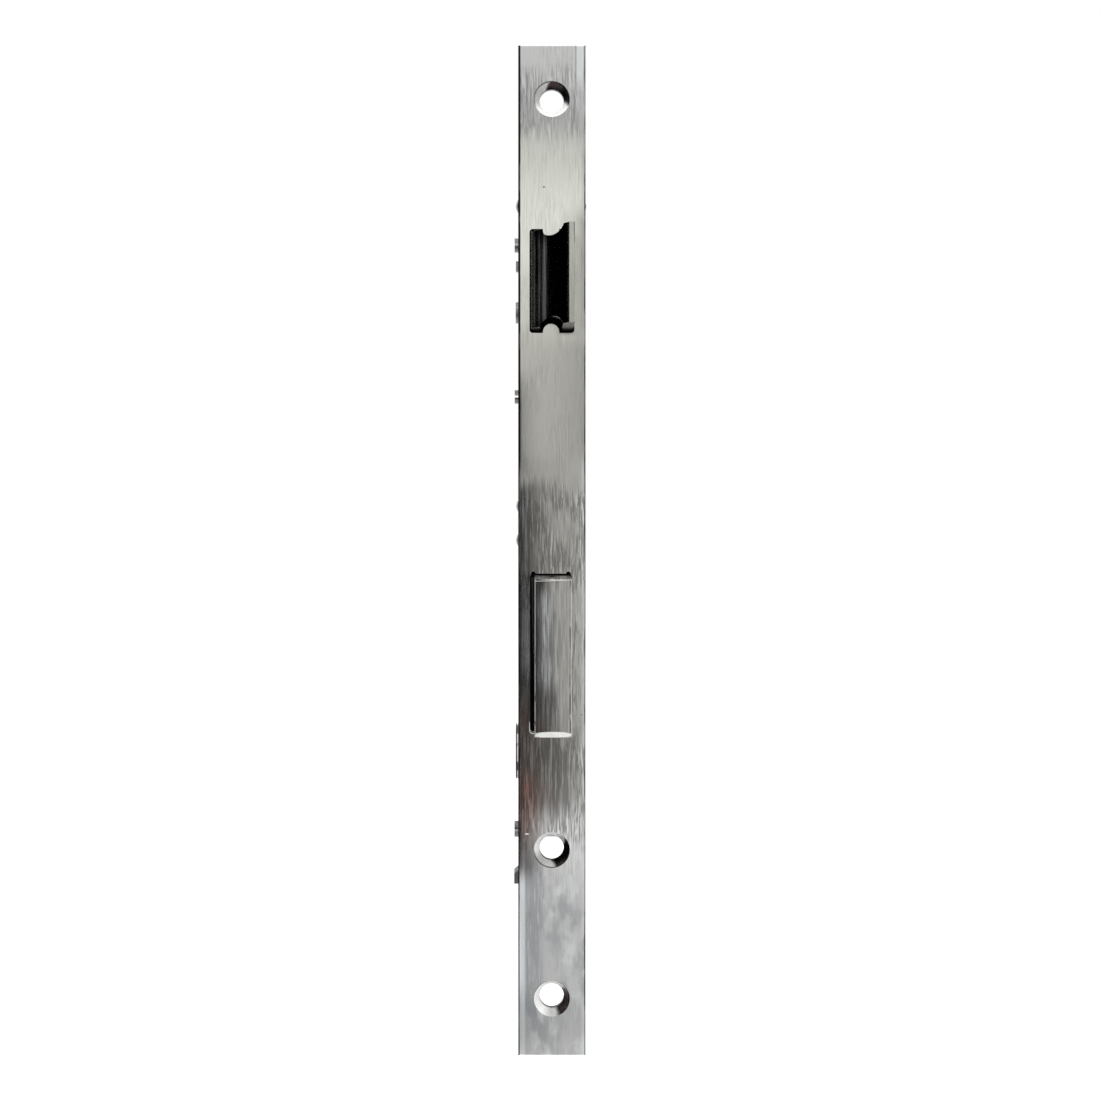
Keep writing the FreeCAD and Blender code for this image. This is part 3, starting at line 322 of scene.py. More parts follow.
    # Painted shade on the openings' sheared walls, painted dark reflections as lines along the
    # plate's sides, painted highlights with some dark edging, and single marks
    beside = nodes.band(x, -opening_side, opening_side, 0.0001)
    at_latch = nodes.band(z, latch_low.z - 0.0007, latch_high.z + 0.003, 0.0001)
    at_bolt = nodes.band(z, bolt_low.z - 0.003, bolt_high.z + 0.003, 0.0001)
    painted_wall_shade = nodes.step(y, 0.000005, 0.00003) * beside * (at_latch + at_bolt)
    upper_half = nodes.step(z, -0.016, -0.011)
    left_reach = x - edge_line_width * 0.5 * upper_half
    line_core = edge_line_width * 0.7
    painted_left_edge_line = nodes.step(left_reach, plate_low.x + edge_line_width, plate_low.x + line_core)
    painted_right_edge_line = nodes.step(x, plate_high.x - edge_line_width, plate_high.x - line_core)
    front_rim = nodes.step(y, 0.0006, 0.0005)
    line = (0.95 * painted_left_edge_line + 0.6 * painted_right_edge_line * nodes.step(cloud, 0.40, 0.56)) * front_rim
    line = line * (0.55 + 0.35 * upper_half + nodes.step(blotch, 0.35, 0.6))
    off_speck = nodes.span(x - speck_place[0], z - speck_place[1])
    off_nick = nodes.span((x - nick_place[0]) * (nick_radius / nick_length), z - nick_place[1])
    off_low_speck = nodes.span(x - low_speck_place[0], z - low_speck_place[1])
    speck = nodes.step(off_speck, speck_radius, speck_radius * 0.6)
    low_speck = nodes.step(off_low_speck, speck_radius, speck_radius * 0.6)
    nick = nodes.step(off_nick, nick_radius, nick_radius * 0.6)
    # A painted highlight strip near the plate's top right edge, with a painted dark line at its
    # left foot
    painted_ridge_highlight = nodes.band(x, 0.0060, 0.0072, 0.0002)
    painted_ridge_highlight = painted_ridge_highlight * nodes.step(z, highlight_foot_height, highlight_full_height)
    painted_ridge_foot_shade = nodes.band(x, 0.0056, 0.00575, 0.00012)
    painted_ridge_foot_shade = painted_ridge_foot_shade * nodes.step(z, highlight_foot_height, highlight_full_height)
    # A painted highlight arc round the bolt opening's lower left corner
    drop = z - bolt_low.z + 0.0002
    below = drop.maths("MINIMUM", drop, 0.0)
    off_corner = nodes.span(x - bolt_low.x + 0.00025, below)
    painted_edge_mark = nodes.band(off_corner, corner_highlight_radius, corner_highlight_radius + 0.00016, 0.00006)
    painted_edge_mark = painted_edge_mark * nodes.step(x, bolt_low.x + 0.0003, bolt_low.x)
    painted_edge_mark = painted_edge_mark * nodes.step(z, bolt_low.z + 0.0022, bolt_low.z + 0.0012)
    colour = nodes.mixed(painted_ridge_highlight + nick + painted_edge_mark, colour, painted_highlight_and_nick_colour)
    # The marks: the painted dark line at the highlight strip's foot, and two specks
    marks = 0.35 * painted_ridge_foot_shade + speck + 0.6 * low_speck
    colour = nodes.mixed(painted_wall_shade + line + marks, colour, painted_shade_and_speck_colour)

    roughness = 0.18 + 0.05 * streak * worn + 0.08 * smear * handled + 0.1 * bright_wall
    height = brush * worn + 0.8 * scratch * worn - 10 * speck
    fine = nodes.raised(height, 0.000007)
    right_roll = nodes.step(x, plate_high.x - edge_roll_width, plate_high.x - 0.0002)
    left_roll = nodes.step(x, plate_low.x + 0.0009, plate_low.x + 0.0003)
    nodes.surface(
        Base_Color=colour,
        Metallic=1 - 0.75 * bright_wall - 0.25 * painted_white_highlight - 0.6 * painted_edge_mark - 0.9 * nick,
        Roughness=roughness + 0.25 * painted_wall_shade,
        Anisotropic=0.85,
        Normal=nodes.raised(wave - 0.8 * right_roll - 0.6 * left_roll, 0.00005, fine),
    )
    return material


dress(brushed_plate(), "faceplate")

# Lugs and case tray
# The tray is one sheet of zinc-plated steel, folded up on four sides behind the faceplate.
# A steel lug in each front corner is riveted across the tray and carries the faceplate.

zinc_colour = (0.47, 0.48, 0.495, 1)
pale_zinc_colour = (0.57, 0.58, 0.585, 1)
yellowed_zinc_colour = (0.49, 0.475, 0.42, 1)
pitted_colour = (0.30, 0.295, 0.29, 1)
painted_left_shade_colour = (0.22, 0.22, 0.215, 1)
rolling_width = 0.0004
rolling_length = 0.018
cloud_size = 0.011
gap_shade_front = 0.0026
gap_shade_rear = 0.0050
gap_left = -0.0057
gap_right = 0.0056


def zinc_sheet(name, rolled):
    """Zinc-plated sheet that was rolled along the axis that is rolled, 0 for X to 2 for Z"""
    material, nodes = finish(name)
    place = nodes.place()
    lines = [rolling_width] * 3
    lines[rolled] = rolling_length
    rolling = nodes.grain(place, lines, 1.7, 2.0)
    cloud = nodes.grain(place, (cloud_size, cloud_size, cloud_size), 4.2, 4.0)
    tint = nodes.grain(place, (cloud_size * 2, cloud_size * 2, cloud_size * 3), 9.1, 2.0)
    pit = nodes.grain(place, (0.0007, 0.0007, 0.0007), 5.5, 1.0)
    colour = nodes.mixed(nodes.step(cloud, 0.35, 0.65), zinc_colour, pale_zinc_colour)
    colour = nodes.mixed(nodes.step(tint, 0.52, 0.70) * 0.55, colour, yellowed_zinc_colour)
    colour = nodes.mixed(nodes.step(pit, 0.66, 0.74) * 0.5, colour, pitted_colour)
    x, y, z = nodes.parts(place)

    # Painted shade blackens the tray's front wall in the gaps beside latch and bolt. It leaves
    # the zinc colour right of a line that leans a little to the right toward the bolt's foot.
    painted_gap_shade = nodes.band(y, gap_shade_front, gap_shade_rear, 0.0003)
    painted_gap_shade = painted_gap_shade * nodes.band(x, gap_left, gap_right, 0.0003)
    wiped = nodes.step(x + 0.0049 - 0.020 * (bolt_high.z - z), 0.0, 0.0002)
    wiped = wiped * nodes.band(z, bolt_low.z - 0.002, bolt_high.z - 0.0008, 0.0004)
    painted_gap_shade = painted_gap_shade * (1 - wiped)
    beside_latch = nodes.band(z, latch_low.z - 0.002, latch_high.z + 0.002, 0.001)
    beside_bolt = nodes.band(z, bolt_low.z - 0.002, bolt_high.z + 0.002, 0.001)
    painted_gap_shade = painted_gap_shade * (beside_latch + beside_bolt)
    # Painted shade darkens the sheet near and past the faceplate's left edge, patchy with the
    # cloud
    painted_left_shade = nodes.step(x, -0.0071, -0.0075) * (0.6 + 0.4 * nodes.step(cloud, 0.4, 0.6))
    colour = nodes.mixed(painted_left_shade, colour, painted_left_shade_colour)
    nodes.surface(
        Base_Color=nodes.mixed(painted_gap_shade, colour, painted_black_colour),
        Metallic=1 - painted_gap_shade,
        Roughness=0.30 + 0.16 * nodes.step(cloud, 0.3, 0.7) + 0.08 * rolling + 0.4 * painted_gap_shade,
        Normal=nodes.raised(rolling + 0.8 * pit, 0.000006),
    )
    return material


dress(zinc_sheet("case_zinc_finish", 2), "case_body")
dress(zinc_sheet("lug_zinc_finish", 0), "faceplate_lug_top", "faceplate_lug_bottom")

# Pegs, pillars and rivets
# Turned from free-cutting steel and zinc-plated. Each has a spigot that goes through the
# tray's flat side and is peened over there, and the lug rivets have a head at both ends.

peg_colour = (0.34, 0.34, 0.345, 1)
peg_dark_colour = (0.17, 0.165, 0.16, 1)
turning_pitch = 0.00016


def turned_steel(name, colour=peg_colour):
    """Turned steel whose fine tool marks run round the X axis"""
    material, nodes = finish(name)
    place = nodes.place()
    marks = nodes.grain(place, (turning_pitch, turning_pitch * 8, turning_pitch * 8), 2.4, 1.0)
    stain = nodes.grain(place, (0.0016, 0.0016, 0.0016), 6.6, 3.0)
    stained = nodes.step(stain, 0.48, 0.68)
    nodes.surface(
        Base_Color=nodes.mixed(stained * 0.6, colour, peg_dark_colour),
        Metallic=1.0,
        Roughness=0.24 + 0.16 * stained,
        Normal=nodes.raised(marks + 0.5 * stain, 0.000008),
    )
    return material


pegs = turned_steel("peg_steel_finish")
dress(
    pegs, "lug_rivets", "cover_pillars", "latch_guide_peg", "follower_stop_peg",
    "bolt_guide_peg", "detent_pegs",
)

# Latch
# A die-cast and nickel-plated head on a steel rod, which slides in the faceplate and in a
# bracket behind. A spring on the rod pushes it out, and a hooked tail lets the handle pull it in.

latch_colour = (0.70, 0.70, 0.695, 1)
latch_nose_colour = (0.50, 0.495, 0.475, 1)
latch_rub_colour = (0.38, 0.375, 0.365, 1)
painted_shadow_line_colour = (0.10, 0.10, 0.10, 1)
cast_colour = (0.42, 0.415, 0.40, 1)


def plated_latch():
    material, nodes = finish("latch_nickel_finish")
    place = nodes.place()
    x, y, z = nodes.parts(place)
    rub = nodes.grain(place, (0.00028, 0.00028, 0.008), 1.1, 2.0)
    speckle = nodes.grain(place, (0.0005, 0.0005, 0.0007), 8.2, 1.0)
    nose = nodes.step(y, latch_low.y + 0.0010, latch_low.y + 0.0001)
    ends = 1 - nodes.band(z, latch_low.z + 0.0001, latch_high.z - 0.0001, 0.00005)
    rubbed = nodes.step(rub, 0.44, 0.62)
    # A painted shadow line along the head's right edge, broken up by the rub noise
    painted_edge_mark = nodes.step(x, latch_high.x - 0.00024, latch_high.x - 0.00018)
    painted_edge_mark = painted_edge_mark * nodes.step(rub, 0.42, 0.50)
    painted_edge_mark = painted_edge_mark * nodes.step(z, latch_low.z + 0.004, latch_low.z + 0.012)
    colour = nodes.mixed(nose, latch_colour, latch_nose_colour)
    colour = nodes.mixed(rubbed * (0.15 + 0.35 * nose), colour, latch_rub_colour)
    colour = nodes.mixed(ends, colour, cast_colour)
    colour = nodes.mixed(painted_edge_mark, colour, painted_shadow_line_colour)
    nodes.surface(
        Base_Color=colour,
        Metallic=1.0,
        Roughness=0.05 + 0.04 * rubbed + 0.18 * nose + 0.40 * ends,
        Normal=nodes.raised(rub + 0.3 * speckle, 0.000003),
    )
    return material


dress(plated_latch(), "latch_head")
dress(zinc_sheet("latch_zinc_finish", 1), "latch_tail", "latch_guide_bracket")
dress(pegs, "latch_rod", "latch_tail_pin")

# Follower
# The handle's square spindle goes through this die-cast hub, whose two arms pull the latch's
# tail and push a spring plunger. It turns in a plastic ring in each side of the case.

casting_colour = (0.60, 0.61, 0.62, 1)
casting_dark_colour = (0.42, 0.425, 0.43, 1)
plastic_colour = (0.80, 0.80, 0.77, 1)
plastic_soiled_colour = (0.55, 0.54, 0.50, 1)
painted_rim_shade_colour = (0.06, 0.06, 0.06, 1)
ring_shoulder = -0.0079
ring_rim = -0.0082


def die_casting():
    material, nodes = finish("hub_casting_finish")
    place = nodes.place()
    flow = nodes.grain(place, (0.004, 0.004, 0.004), 2.2, 4.0)
    skin = nodes.grain(place, (0.0003, 0.0003, 0.0003), 3.7, 2.0)
    dull = nodes.step(flow, 0.42, 0.64)
    nodes.surface(
        Base_Color=nodes.mixed(dull * 0.7, casting_colour, casting_dark_colour),
        Metallic=1.0,
        Roughness=0.38 + 0.16 * dull,
        Normal=nodes.raised(flow + skin, 0.000015),
    )
    return material


def moulded_plastic():
    material, nodes = finish("ring_plastic_finish")
    place = nodes.place()
    soil = nodes.grain(place, (0.003, 0.003, 0.003), 5.9, 4.0)
    skin = nodes.grain(place, (0.0002, 0.0002, 0.0002), 1.3, 1.0)
    soiled = nodes.step(soil, 0.50, 0.72)
    across = nodes.parts(place)[0]
    # Painted shade blackens the ring's outer rim and, in patches, its shoulder
    painted_dark_rim = 0.95 * nodes.step(across, ring_rim, ring_rim - 0.0002)
    shoulder_noise = nodes.step(soil, 0.48, 0.56)
    painted_dark_rim = painted_dark_rim + nodes.step(across, ring_shoulder, ring_shoulder - 0.0002) * shoulder_noise
    colour = nodes.mixed(soiled * 0.6, plastic_colour, plastic_soiled_colour)
    nodes.surface(
        Base_Color=nodes.mixed(painted_dark_rim, colour, painted_rim_shade_colour),
        Roughness=0.42 + 0.2 * soiled,
        Normal=nodes.raised(skin, 0.000008),
    )
    return material


casting = die_casting()
plastic = moulded_plastic()
dress(casting, "follower", "follower_plunger")
dress(plastic, "follower_rings")
dress(zinc_sheet("plunger_bracket_zinc_finish", 2), "plunger_bracket")

# Springs
# Two coils of bright wire streaked by the mill's drawing, each closing against its bracket as
# the latch or the plunger moves, and a strip with a bent nose that drops in the bolt's notches.

wire_colour = (0.42, 0.42, 0.43, 1)
wire_dark_colour = (0.20, 0.195, 0.19, 1)


def spring_steel():
    material, nodes = finish("spring_steel_finish")
    place = nodes.place()
    oil = nodes.grain(place, (0.0025, 0.0025, 0.0025), 4.4, 3.0)
    drawn = nodes.grain(place, (0.00015, 0.0012, 0.0012), 6.1, 2.0)
    oily = nodes.step(oil, 0.42, 0.66)
    nodes.surface(
        Base_Color=nodes.mixed(oily * 0.7, wire_colour, wire_dark_colour),
        Metallic=1.0,
        Roughness=0.20 + 0.14 * oily,
        Normal=nodes.raised(drawn, 0.000006),
    )
    return material


def closing_coil(name, node):
    """A smooth-shaded copy of the CAD spring's coil, which takes its place on the lock case"""
    shape = bmesh.new()
    shape.from_mesh(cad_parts[node].data)
    bmesh.ops.remove_doubles(shape, verts=shape.verts, dist=0.000005)
    mesh = bpy.data.meshes.new(name)
    shape.to_mesh(mesh)
    shape.free()
    mesh.shade_smooth()
    mesh.materials.append(spring_wire)
    coil = bpy.data.objects.new(name, mesh)
    bpy.context.scene.collection.objects.link(coil)
    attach(coil, "lock_case")
    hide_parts(node)
    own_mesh(coil)


spring_wire = spring_steel()
closing_coil("latch_coil", "latch_spring")
closing_coil(
    "follower_coil", "follower_spring"
)
dress(spring_wire, "detent_spring")

# Deadbolt
# A block of steel with a crowned face and a chamfer, nickel-plated and brushed upright.
# Two rivets hold it on a sheet tail, which the turn hub's crank pin drives in and out.

bolt_colour = (0.77, 0.77, 0.76, 1)
bolt_dark_colour = (0.40, 0.40, 0.39, 1)
bright_streak_and_highlight_colour = (0.99, 0.99, 0.98, 1)
painted_edge_highlight_colour = (0.85, 0.86, 0.86, 1)
painted_top_highlight_colour = (0.74, 0.74, 0.72, 1)
shadow_line_colour = (0.16, 0.16, 0.16, 1)
painted_inside_shade_colour = (0.012, 0.012, 0.012, 1)
bolt_chamfer_height = 0.0016
bolt_brush_width = 0.00028
bolt_brush_length = 0.0060
grind_width = 0.00042
grind_length = 0.0070


def brushed_bolt():
    material, nodes = finish("bolt_steel_finish")
    place = nodes.place()
    x, y, z = nodes.parts(place)
    brush = nodes.grain(place, (bolt_brush_width, bolt_brush_width, bolt_brush_length), 2.9, 2.0)
    grind = nodes.grain(place, (grind_width, grind_width, grind_length), 5.2, 1.0)
    edge_noise = nodes.grain(place, (0.0010, 0.0010, 0.0030), 7.7, 3.0)
    streak = nodes.step(brush, 0.42, 0.58)
    ground = nodes.step(grind, 0.44, 0.60)
    low_face = nodes.step(z, bolt_low.z + 0.013, bolt_low.z + 0.007)

    # A painted highlight on the polished chamfer at the bolt's foot, trimmed to a crescent at its
    # ends
    up_chamfer = (z - bolt_low.z) / bolt_chamfer_height
    left_end = nodes.step(x, bolt_low.x + 0.0018, bolt_low.x)
    right_end = nodes.step(x, bolt_high.x - 0.0022, bolt_high.x)
    painted_chamfer_highlight = nodes.step(up_chamfer + 0.62 * left_end + 0.30 * right_end, 1.03, 0.99)
    painted_chamfer_highlight = painted_chamfer_highlight * nodes.step(y, bolt_low.y + 0.0022, bolt_low.y + 0.0020)
    right_half = nodes.step(x, 0.0, bolt_high.x + 0.002)
    painted_chamfer_highlight = painted_chamfer_highlight * nodes.step(up_chamfer - 0.34 * right_half - 0.2 * left_end, 0.0, 0.06)

    # Painted highlights along the left and top edges and a painted shadow line along the right
    # edge, and painted shade on what stays inside the plate
    painted_left_edge_highlight = nodes.step(x, bolt_low.x + 0.00016, bolt_low.x + 0.00010)
    upper_end = 0.3 * nodes.step(z, bolt_high.z - 0.016, bolt_high.z - 0.010)
    painted_left_edge_highlight = painted_left_edge_highlight * nodes.step(edge_noise + upper_end, 0.34, 0.50) * (1 - painted_chamfer_highlight)
    painted_left_edge_highlight = painted_left_edge_highlight * nodes.step(y, bolt_low.y + 0.0020, bolt_low.y + 0.0010)
    left_face = nodes.step(x, 0.0024, -0.0006)
    glint = nodes.band(x, bolt_high.x - 0.00068, bolt_high.x - 0.00054, 0.00006)
    glint = glint * nodes.band(z, bolt_low.z + 0.0016, bolt_low.z + 0.0040, 0.0006)
    right_edge = nodes.band(x, bolt_high.x - 0.00045, bolt_high.x - 0.00020, 0.0001)
    right_edge = right_edge * nodes.step(edge_noise, 0.40, 0.54) * (1 - painted_chamfer_highlight)
    rise = z - bolt_high.z + 0.035 * (bolt_high.x - x)
    painted_top_edge_highlight = nodes.band(rise, -0.00020, -0.00008, 0.00006)
    painted_top_edge_highlight = painted_top_edge_highlight * nodes.step(y, bolt_low.y + 0.0008, bolt_low.y + 0.0004)
    inside = nodes.step(y, -0.0006, 0.0004)

    shade = streak * (0.35 + 0.2 * left_face) + ground * (0.10 + 0.5 * left_face)
    bright_grind = nodes.step(grind, 0.42, 0.34) * left_face * 0.6
    bright_brush = nodes.step(brush, 0.40, 0.32) * (0.30 + 0.3 * low_face)
    face = nodes.mixed(shade, bolt_colour, bolt_dark_colour)
    face = nodes.mixed(bright_grind, face, bright_streak_and_highlight_colour)
    face = nodes.mixed(bright_brush, face, bright_streak_and_highlight_colour)
    face = nodes.mixed(right_edge * 0.75, face, shadow_line_colour)
    face = nodes.mixed(painted_chamfer_highlight + glint, face, bright_streak_and_highlight_colour)
    face = nodes.mixed(painted_left_edge_highlight, face, painted_edge_highlight_colour)
    face = nodes.mixed(painted_top_edge_highlight, face, painted_top_highlight_colour)
    nodes.surface(
        Base_Color=nodes.mixed(inside, face, painted_inside_shade_colour),
        Metallic=1 - 0.45 * painted_left_edge_highlight - 0.6 * painted_top_edge_highlight - inside,
        Roughness=0.16 + 0.07 * streak - 0.11 * painted_chamfer_highlight + 0.75 * inside,
        Anisotropic=0.8,
        Normal=nodes.raised((brush + 0.5 * grind) * (1 - painted_chamfer_highlight), 0.000012),
    )
    return material


dress(brushed_bolt(), "deadbolt_head")
dress(pegs, "deadbolt_rivets")
dress(zinc_sheet("deadbolt_tail_zinc_finish", 1), "deadbolt_tail")

# Turn hub
# The privacy turn's thin square spindle goes through this die-cast hub of two cheeks, with a
# steel crank pin between them. It turns in plastic rings too, and stands out at the left edge.

dress(casting, "turn_hub")
dress(pegs, "turn_crank_pin")
dress(plastic, "turn_hub_rings")

# Cover and its screws
# A flat sheet closes the tray, with a tab bent out at its lower front corner. Three slotted
# cheese-head screws hold it on the pillars.

screw_colour = (0.26, 0.26, 0.26, 1)

dress(zinc_sheet("cover_zinc_finish", 2), "case_cover")
dress(turned_steel("screw_steel_finish", screw_colour), "cover_screws")

# Camera
# It stands 300 mm in front of the faceplate, level with the middle of the case and in line with
# the faceplate's left edge, so that the case shows only at that edge.

camera_distance = 0.300
camera_height = -0.01745
camera = bpy.data.objects.new("camera", bpy.data.cameras.new("camera"))
bpy.context.scene.collection.objects.link(camera)
camera.location = (plate_low.x, -camera_distance, camera_height)
camera.rotation_euler = (math.radians(90), 0, 0)
camera.data.sensor_width = 36.0
camera.data.lens = 41.36
camera.data.shift_x = 0.0289
camera.data.shift_y = -0.0591
camera.data.clip_start = 0.01
bpy.context.scene.camera = camera

# World and floor
# Plain white behind the lock and in its reflections, and a softer white for the light on it.
# The floor is below the lock, pale, and white to the camera apart from the lock's shadow.

soft_light = 0.6


def seen_directly(nodes):
    """1 for what the camera sees, also in metal and through glass, 0 for the light on things"""
    ray = nodes.add("ShaderNodeLightPath", {}, {}, "Is Camera Ray")
    glossy = nodes.add("ShaderNodeLightPath", {}, {}, "Is Glossy Ray")
    through = nodes.add("ShaderNodeLightPath", {}, {}, "Is Transmission Ray")
    return ray.maths("MAXIMUM", ray, ray.maths("MAXIMUM", glossy, through))


world = bpy.data.worlds.new("white_room")
bpy.context.scene.world = world
world.use_nodes = True
sky = Nodes(world.node_tree)
sky_strength = soft_light + (1 - soft_light) * seen_directly(sky)
background = sky.add("ShaderNodeBackground", {}, {"Color": (1, 1, 1, 1), "Strength": sky_strength})
sky.add("ShaderNodeOutputWorld", {}, {"Surface": background})

floor_height = -0.205
floor_half = 3.0
floor_colour = (0.8, 0.8, 0.8, 1)
floor_glow = 0.55
floor_shape = bmesh.new()
bmesh.ops.create_grid(
    floor_shape, x_segments=1, y_segments=1, size=floor_half,
    matrix=Matrix.Translation((0, 0, floor_height)),
)
floor_mesh = bpy.data.meshes.new("floor")
floor_shape.to_mesh(floor_mesh)
floor = bpy.data.objects.new("floor", floor_mesh)
bpy.context.scene.collection.objects.link(floor)
floor_material, ground = finish("floor_finish")
matt = ground.add("ShaderNodeBsdfDiffuse", {}, {"Color": floor_colour})
lift = ground.add("ShaderNodeEmission", {}, {"Strength": floor_glow * seen_directly(ground)})
both = ground.add("ShaderNodeAddShader", {}, {0: matt, 1: lift})
ground.add("ShaderNodeOutputMaterial", {}, {"Surface": both})
floor_mesh.materials.append(floor_material)
floor.visible_glossy = False

# Reflected cards
# Grey and tinted cards stand in front of the lock, and dark ones close beside it. Only the
# metal's reflections see them, so they shade the faceplate along its length but light nothing.


def card(name, low, high, level, soft, tint=(1, 1, 1)):
    """A card between two corners whose edges fade over soft, at a level where 1 is white"""
    middle = [(a + b) / 2 for a, b in zip(low, high)]
    size = [b - a for a, b in zip(low, high)]
    flat = size.index(min(size))
    shape = bmesh.new()
    bmesh.ops.create_cube(shape, size=1.0)
    bmesh.ops.scale(shape, vec=size, verts=shape.verts)
    bmesh.ops.translate(shape, vec=middle, verts=shape.verts)
    spare = [face for face in shape.faces if face.normal[flat] > -0.5]
    bmesh.ops.delete(shape, geom=spare, context="FACES")
    mesh = bpy.data.meshes.new(name)
    shape.to_mesh(mesh)
    shape.free()
    stand = bpy.data.objects.new(name, mesh)
    bpy.context.scene.collection.objects.link(stand)
    material, nodes = finish(name + "_finish")
    parts = nodes.parts(nodes.place())
    shown = 1.0
    for axis in range(3):
        if axis != flat:
            edge = min(soft[axis], size[axis] / 2)
            inside = nodes.band(parts[axis], low[axis] + edge, high[axis] - edge, edge)
            shown = inside * shown
    glow = nodes.add("ShaderNodeEmission", {}, {"Color": (*tint, 1), "Strength": level})
    clear = nodes.add("ShaderNodeBsdfTransparent", {}, {})
    faded = nodes.add("ShaderNodeMixShader", {}, {0: shown, 1: clear, 2: glow})
    nodes.add("ShaderNodeOutputMaterial", {}, {"Surface": faded})
    mesh.materials.append(material)
    stand.visible_camera = False
    stand.visible_diffuse = False
    stand.visible_shadow = False
    stand.visible_transmission = False


far = 0.150
near = 0.033
wide = 0.300
paper = 0.0001
card_step = 0.0005
warm = (1, 0.98, 0.925)
lime = (0.985, 1, 0.93)
cool = (0.97, 0.99, 1)
rosy = (1, 0.72, 0.64)
blush = (1, 0.95, 0.93)
brown = (1, 0.34, 0.21)

# Each front card: name, distance, left and right edge, lower and upper edge, level, how far
# its sides and its ends fade, and tint.
front_cards = [
    ("room_card", far, -wide, wide, -0.300, 0.300, 0.66, 0.02, 0.01, cool),
    ("top_card", far, -wide, wide, 0.119, 0.300, 0.69, 0.02, 0.003, cool),
    ("middle_card", far, -wide, wide, -0.122, 0.126, 0.46, 0.02, 0.004, cool),
    ("belt_card", far, -wide, wide, -0.116, 0.055, 0.56, 0.02, 0.006, warm),
    ("upper_window_card", far, -wide, wide, 0.034, 0.110, 0.78, 0.02, 0.006, lime),
    ("window_card", far, -wide, wide, 0.049, 0.100, 0.97, 0.02, 0.018, lime),
    ("shelf_card", far, -wide, wide, -0.134, -0.004, 0.43, 0.02, 0.008, warm),
    ("lower_window_card", far, -wide, wide, -0.156, -0.128, 0.92, 0.02, 0.007, cool),
    ("lower_room_card", far, -wide, 0.016, -0.200, -0.160, 0.55, 0.012, 0.010, cool),
    ("table_card", far, -wide, wide, -0.216, -0.198, 0.47, 0.02, 0.005, cool),
    ("right_light_card", far, 0.030, 0.090, -0.046, 0.300, 0.85, 0.006, 0.010, cool),
    ("right_low_light_card", far, 0.030, 0.090, -0.230, -0.112, 0.85, 0.006, 0.010, cool),
    ("right_dim_card", far, 0.030, 0.090, 0.080, 0.116, 0.50, 0.006, 0.008, cool),
    ("left_light_card", far, -0.080, -0.024, -0.235, -0.166, 0.85, 0.004, 0.010, cool),
    ("belt_right_card", near, 0.0015, 0.040, -0.014, 0.023, 0.43, 0.006, 0.006, warm),
    ("belt_left_card", near, -0.022, -0.0058, -0.022, 0.014, 0.15, 0.0014, 0.010, warm),
    ("left_dark_card", near, -0.022, -0.0010, -0.046, -0.015, 0.02, 0.004, 0.004, cool),
    ("bolt_dark_card", near, -0.0075, 0.0016, -0.090, -0.040, 0.29, 0.0030, 0.006, cool),
    ("bolt_left_card", near, -0.022, -0.0049, -0.095, -0.040, 0.01, 0.0010, 0.003, cool),
    ("bolt_side_card", near, -0.0044, -0.0020, -0.090, -0.040, 0.64, 0.0008, 0.006, cool),
    ("bolt_foot_card", near, -0.0060, 0.0026, -0.090, -0.061, 0.15, 0.0020, 0.008, blush),
    ("low_shade_card", near, -0.022, 0.0095, -0.107, -0.070, 0.18, 0.009, 0.010, warm),
    ("left_low_card", near, -0.022, -0.0022, -0.120, -0.070, 0.06, 0.002, 0.006, rosy),
    ("left_brown_card", near, -0.0070, -0.0040, -0.110, -0.088, 0.36, 0.0010, 0.007, brown),
    ("left_foot_card", near, -0.022, -0.0038, -0.166, -0.142, 0.42, 0.003, 0.008, cool),
    ("right_grey_card", near, 0.0050, 0.050, 0.016, 0.056, 0.46, 0.003, 0.008, warm),
    ("right_roll_card", near, 0.0086, 0.050, -0.100, -0.022, 0.74, 0.002, 0.010, cool),
]
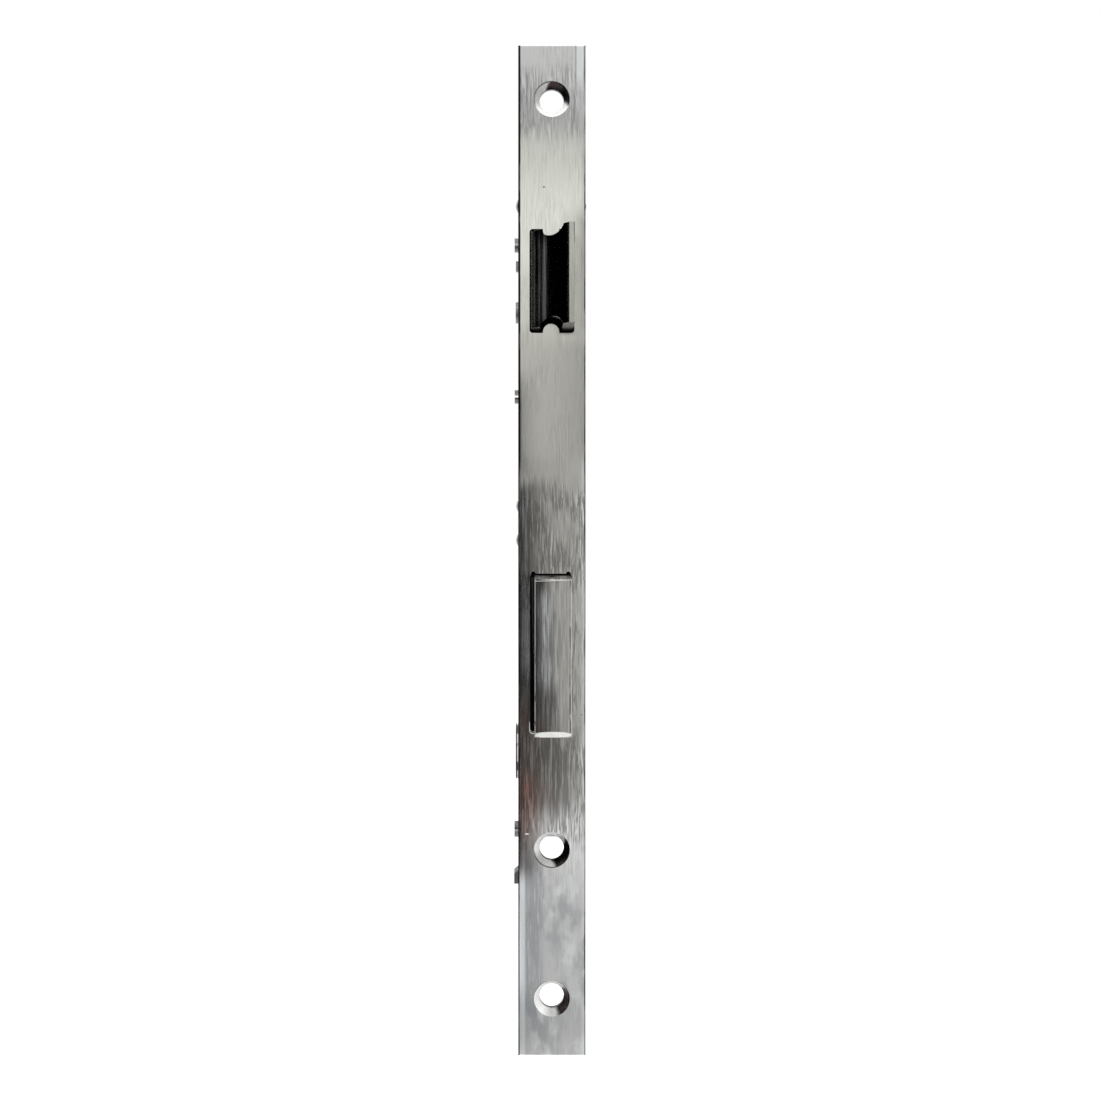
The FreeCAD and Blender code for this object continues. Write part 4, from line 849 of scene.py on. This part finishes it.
for order, front_card in enumerate(front_cards):
    name, distance, left, right, low, high, level, side, end, tint = front_card
    front = -distance + card_step * order
    corners = (left, front, low), (right, front + paper, high)
    card(name, *corners, level, (side, 0, end), tint)

# Each side card: name, place across, front and rear edge, level. They run past the lock's
# height at both ends.
side_cards = [
    ("left_black_card", -0.0200, -0.016, 0.005, 0.0),
    ("left_rear_black_card", -0.0120, 0.001, 0.009, 0.02),
    ("right_rear_grey_card", 0.0120, -0.003, 0.011, 0.10),
    ("left_room_card", -0.3500, -0.250, 0.300, 0.50),
]
side_card_overlap = 0.01
for name, across, front, rear, level in side_cards:
    foot, head = plate_low.z - side_card_overlap, plate_high.z + side_card_overlap
    card(name, (across, front, foot), (across + paper, rear, head), level, (0, 0.0005, 0.003))

# Three thin strips beside the latch show as two lines and a band down its bevel. Each strip:
# name, front and rear edge, level.
strip_across = -0.0199
latch_strips = [
    ("latch_line_card_1", 0.0030, 0.0034, 0.16),
    ("latch_line_card_2", 0.0017, 0.0021, 0.17),
    ("latch_band_card", 0.0001, 0.0010, 0.15),
]
for name, front, rear, level in latch_strips:
    foot, head = latch_low.z, latch_high.z + 0.004
    strip_corners = (strip_across, front, foot), (strip_across + paper, rear, head)
    card(name, *strip_corners, level, (0, 0.0002, 0.006))

# Lamps
# Two soft boxes, above on the left and on the right, and a third one behind. Each lamp: name,
# place, size, power.

lamps = [
    ("key_lamp", (-0.55, -0.60, 0.70), 0.50, 5.0),
    ("fill_lamp", (0.80, -0.35, 0.35), 0.60, 3.0),
    ("rear_lamp", (0.25, 0.90, 0.60), 0.60, 3.0),
]
middle = (cad_low + cad_high) / 2
for name, where, size, power in lamps:
    light = bpy.data.lights.new(name, "AREA")
    light.shape = "SQUARE"
    light.size = size
    light.energy = power
    lamp = bpy.data.objects.new(name, light)
    bpy.context.scene.collection.objects.link(lamp)
    lamp.location = where
    lamp.rotation_euler = (middle - Vector(where)).to_track_quat("-Z", "Y").to_euler()

bpy.context.scene.view_settings.view_transform = "Standard"
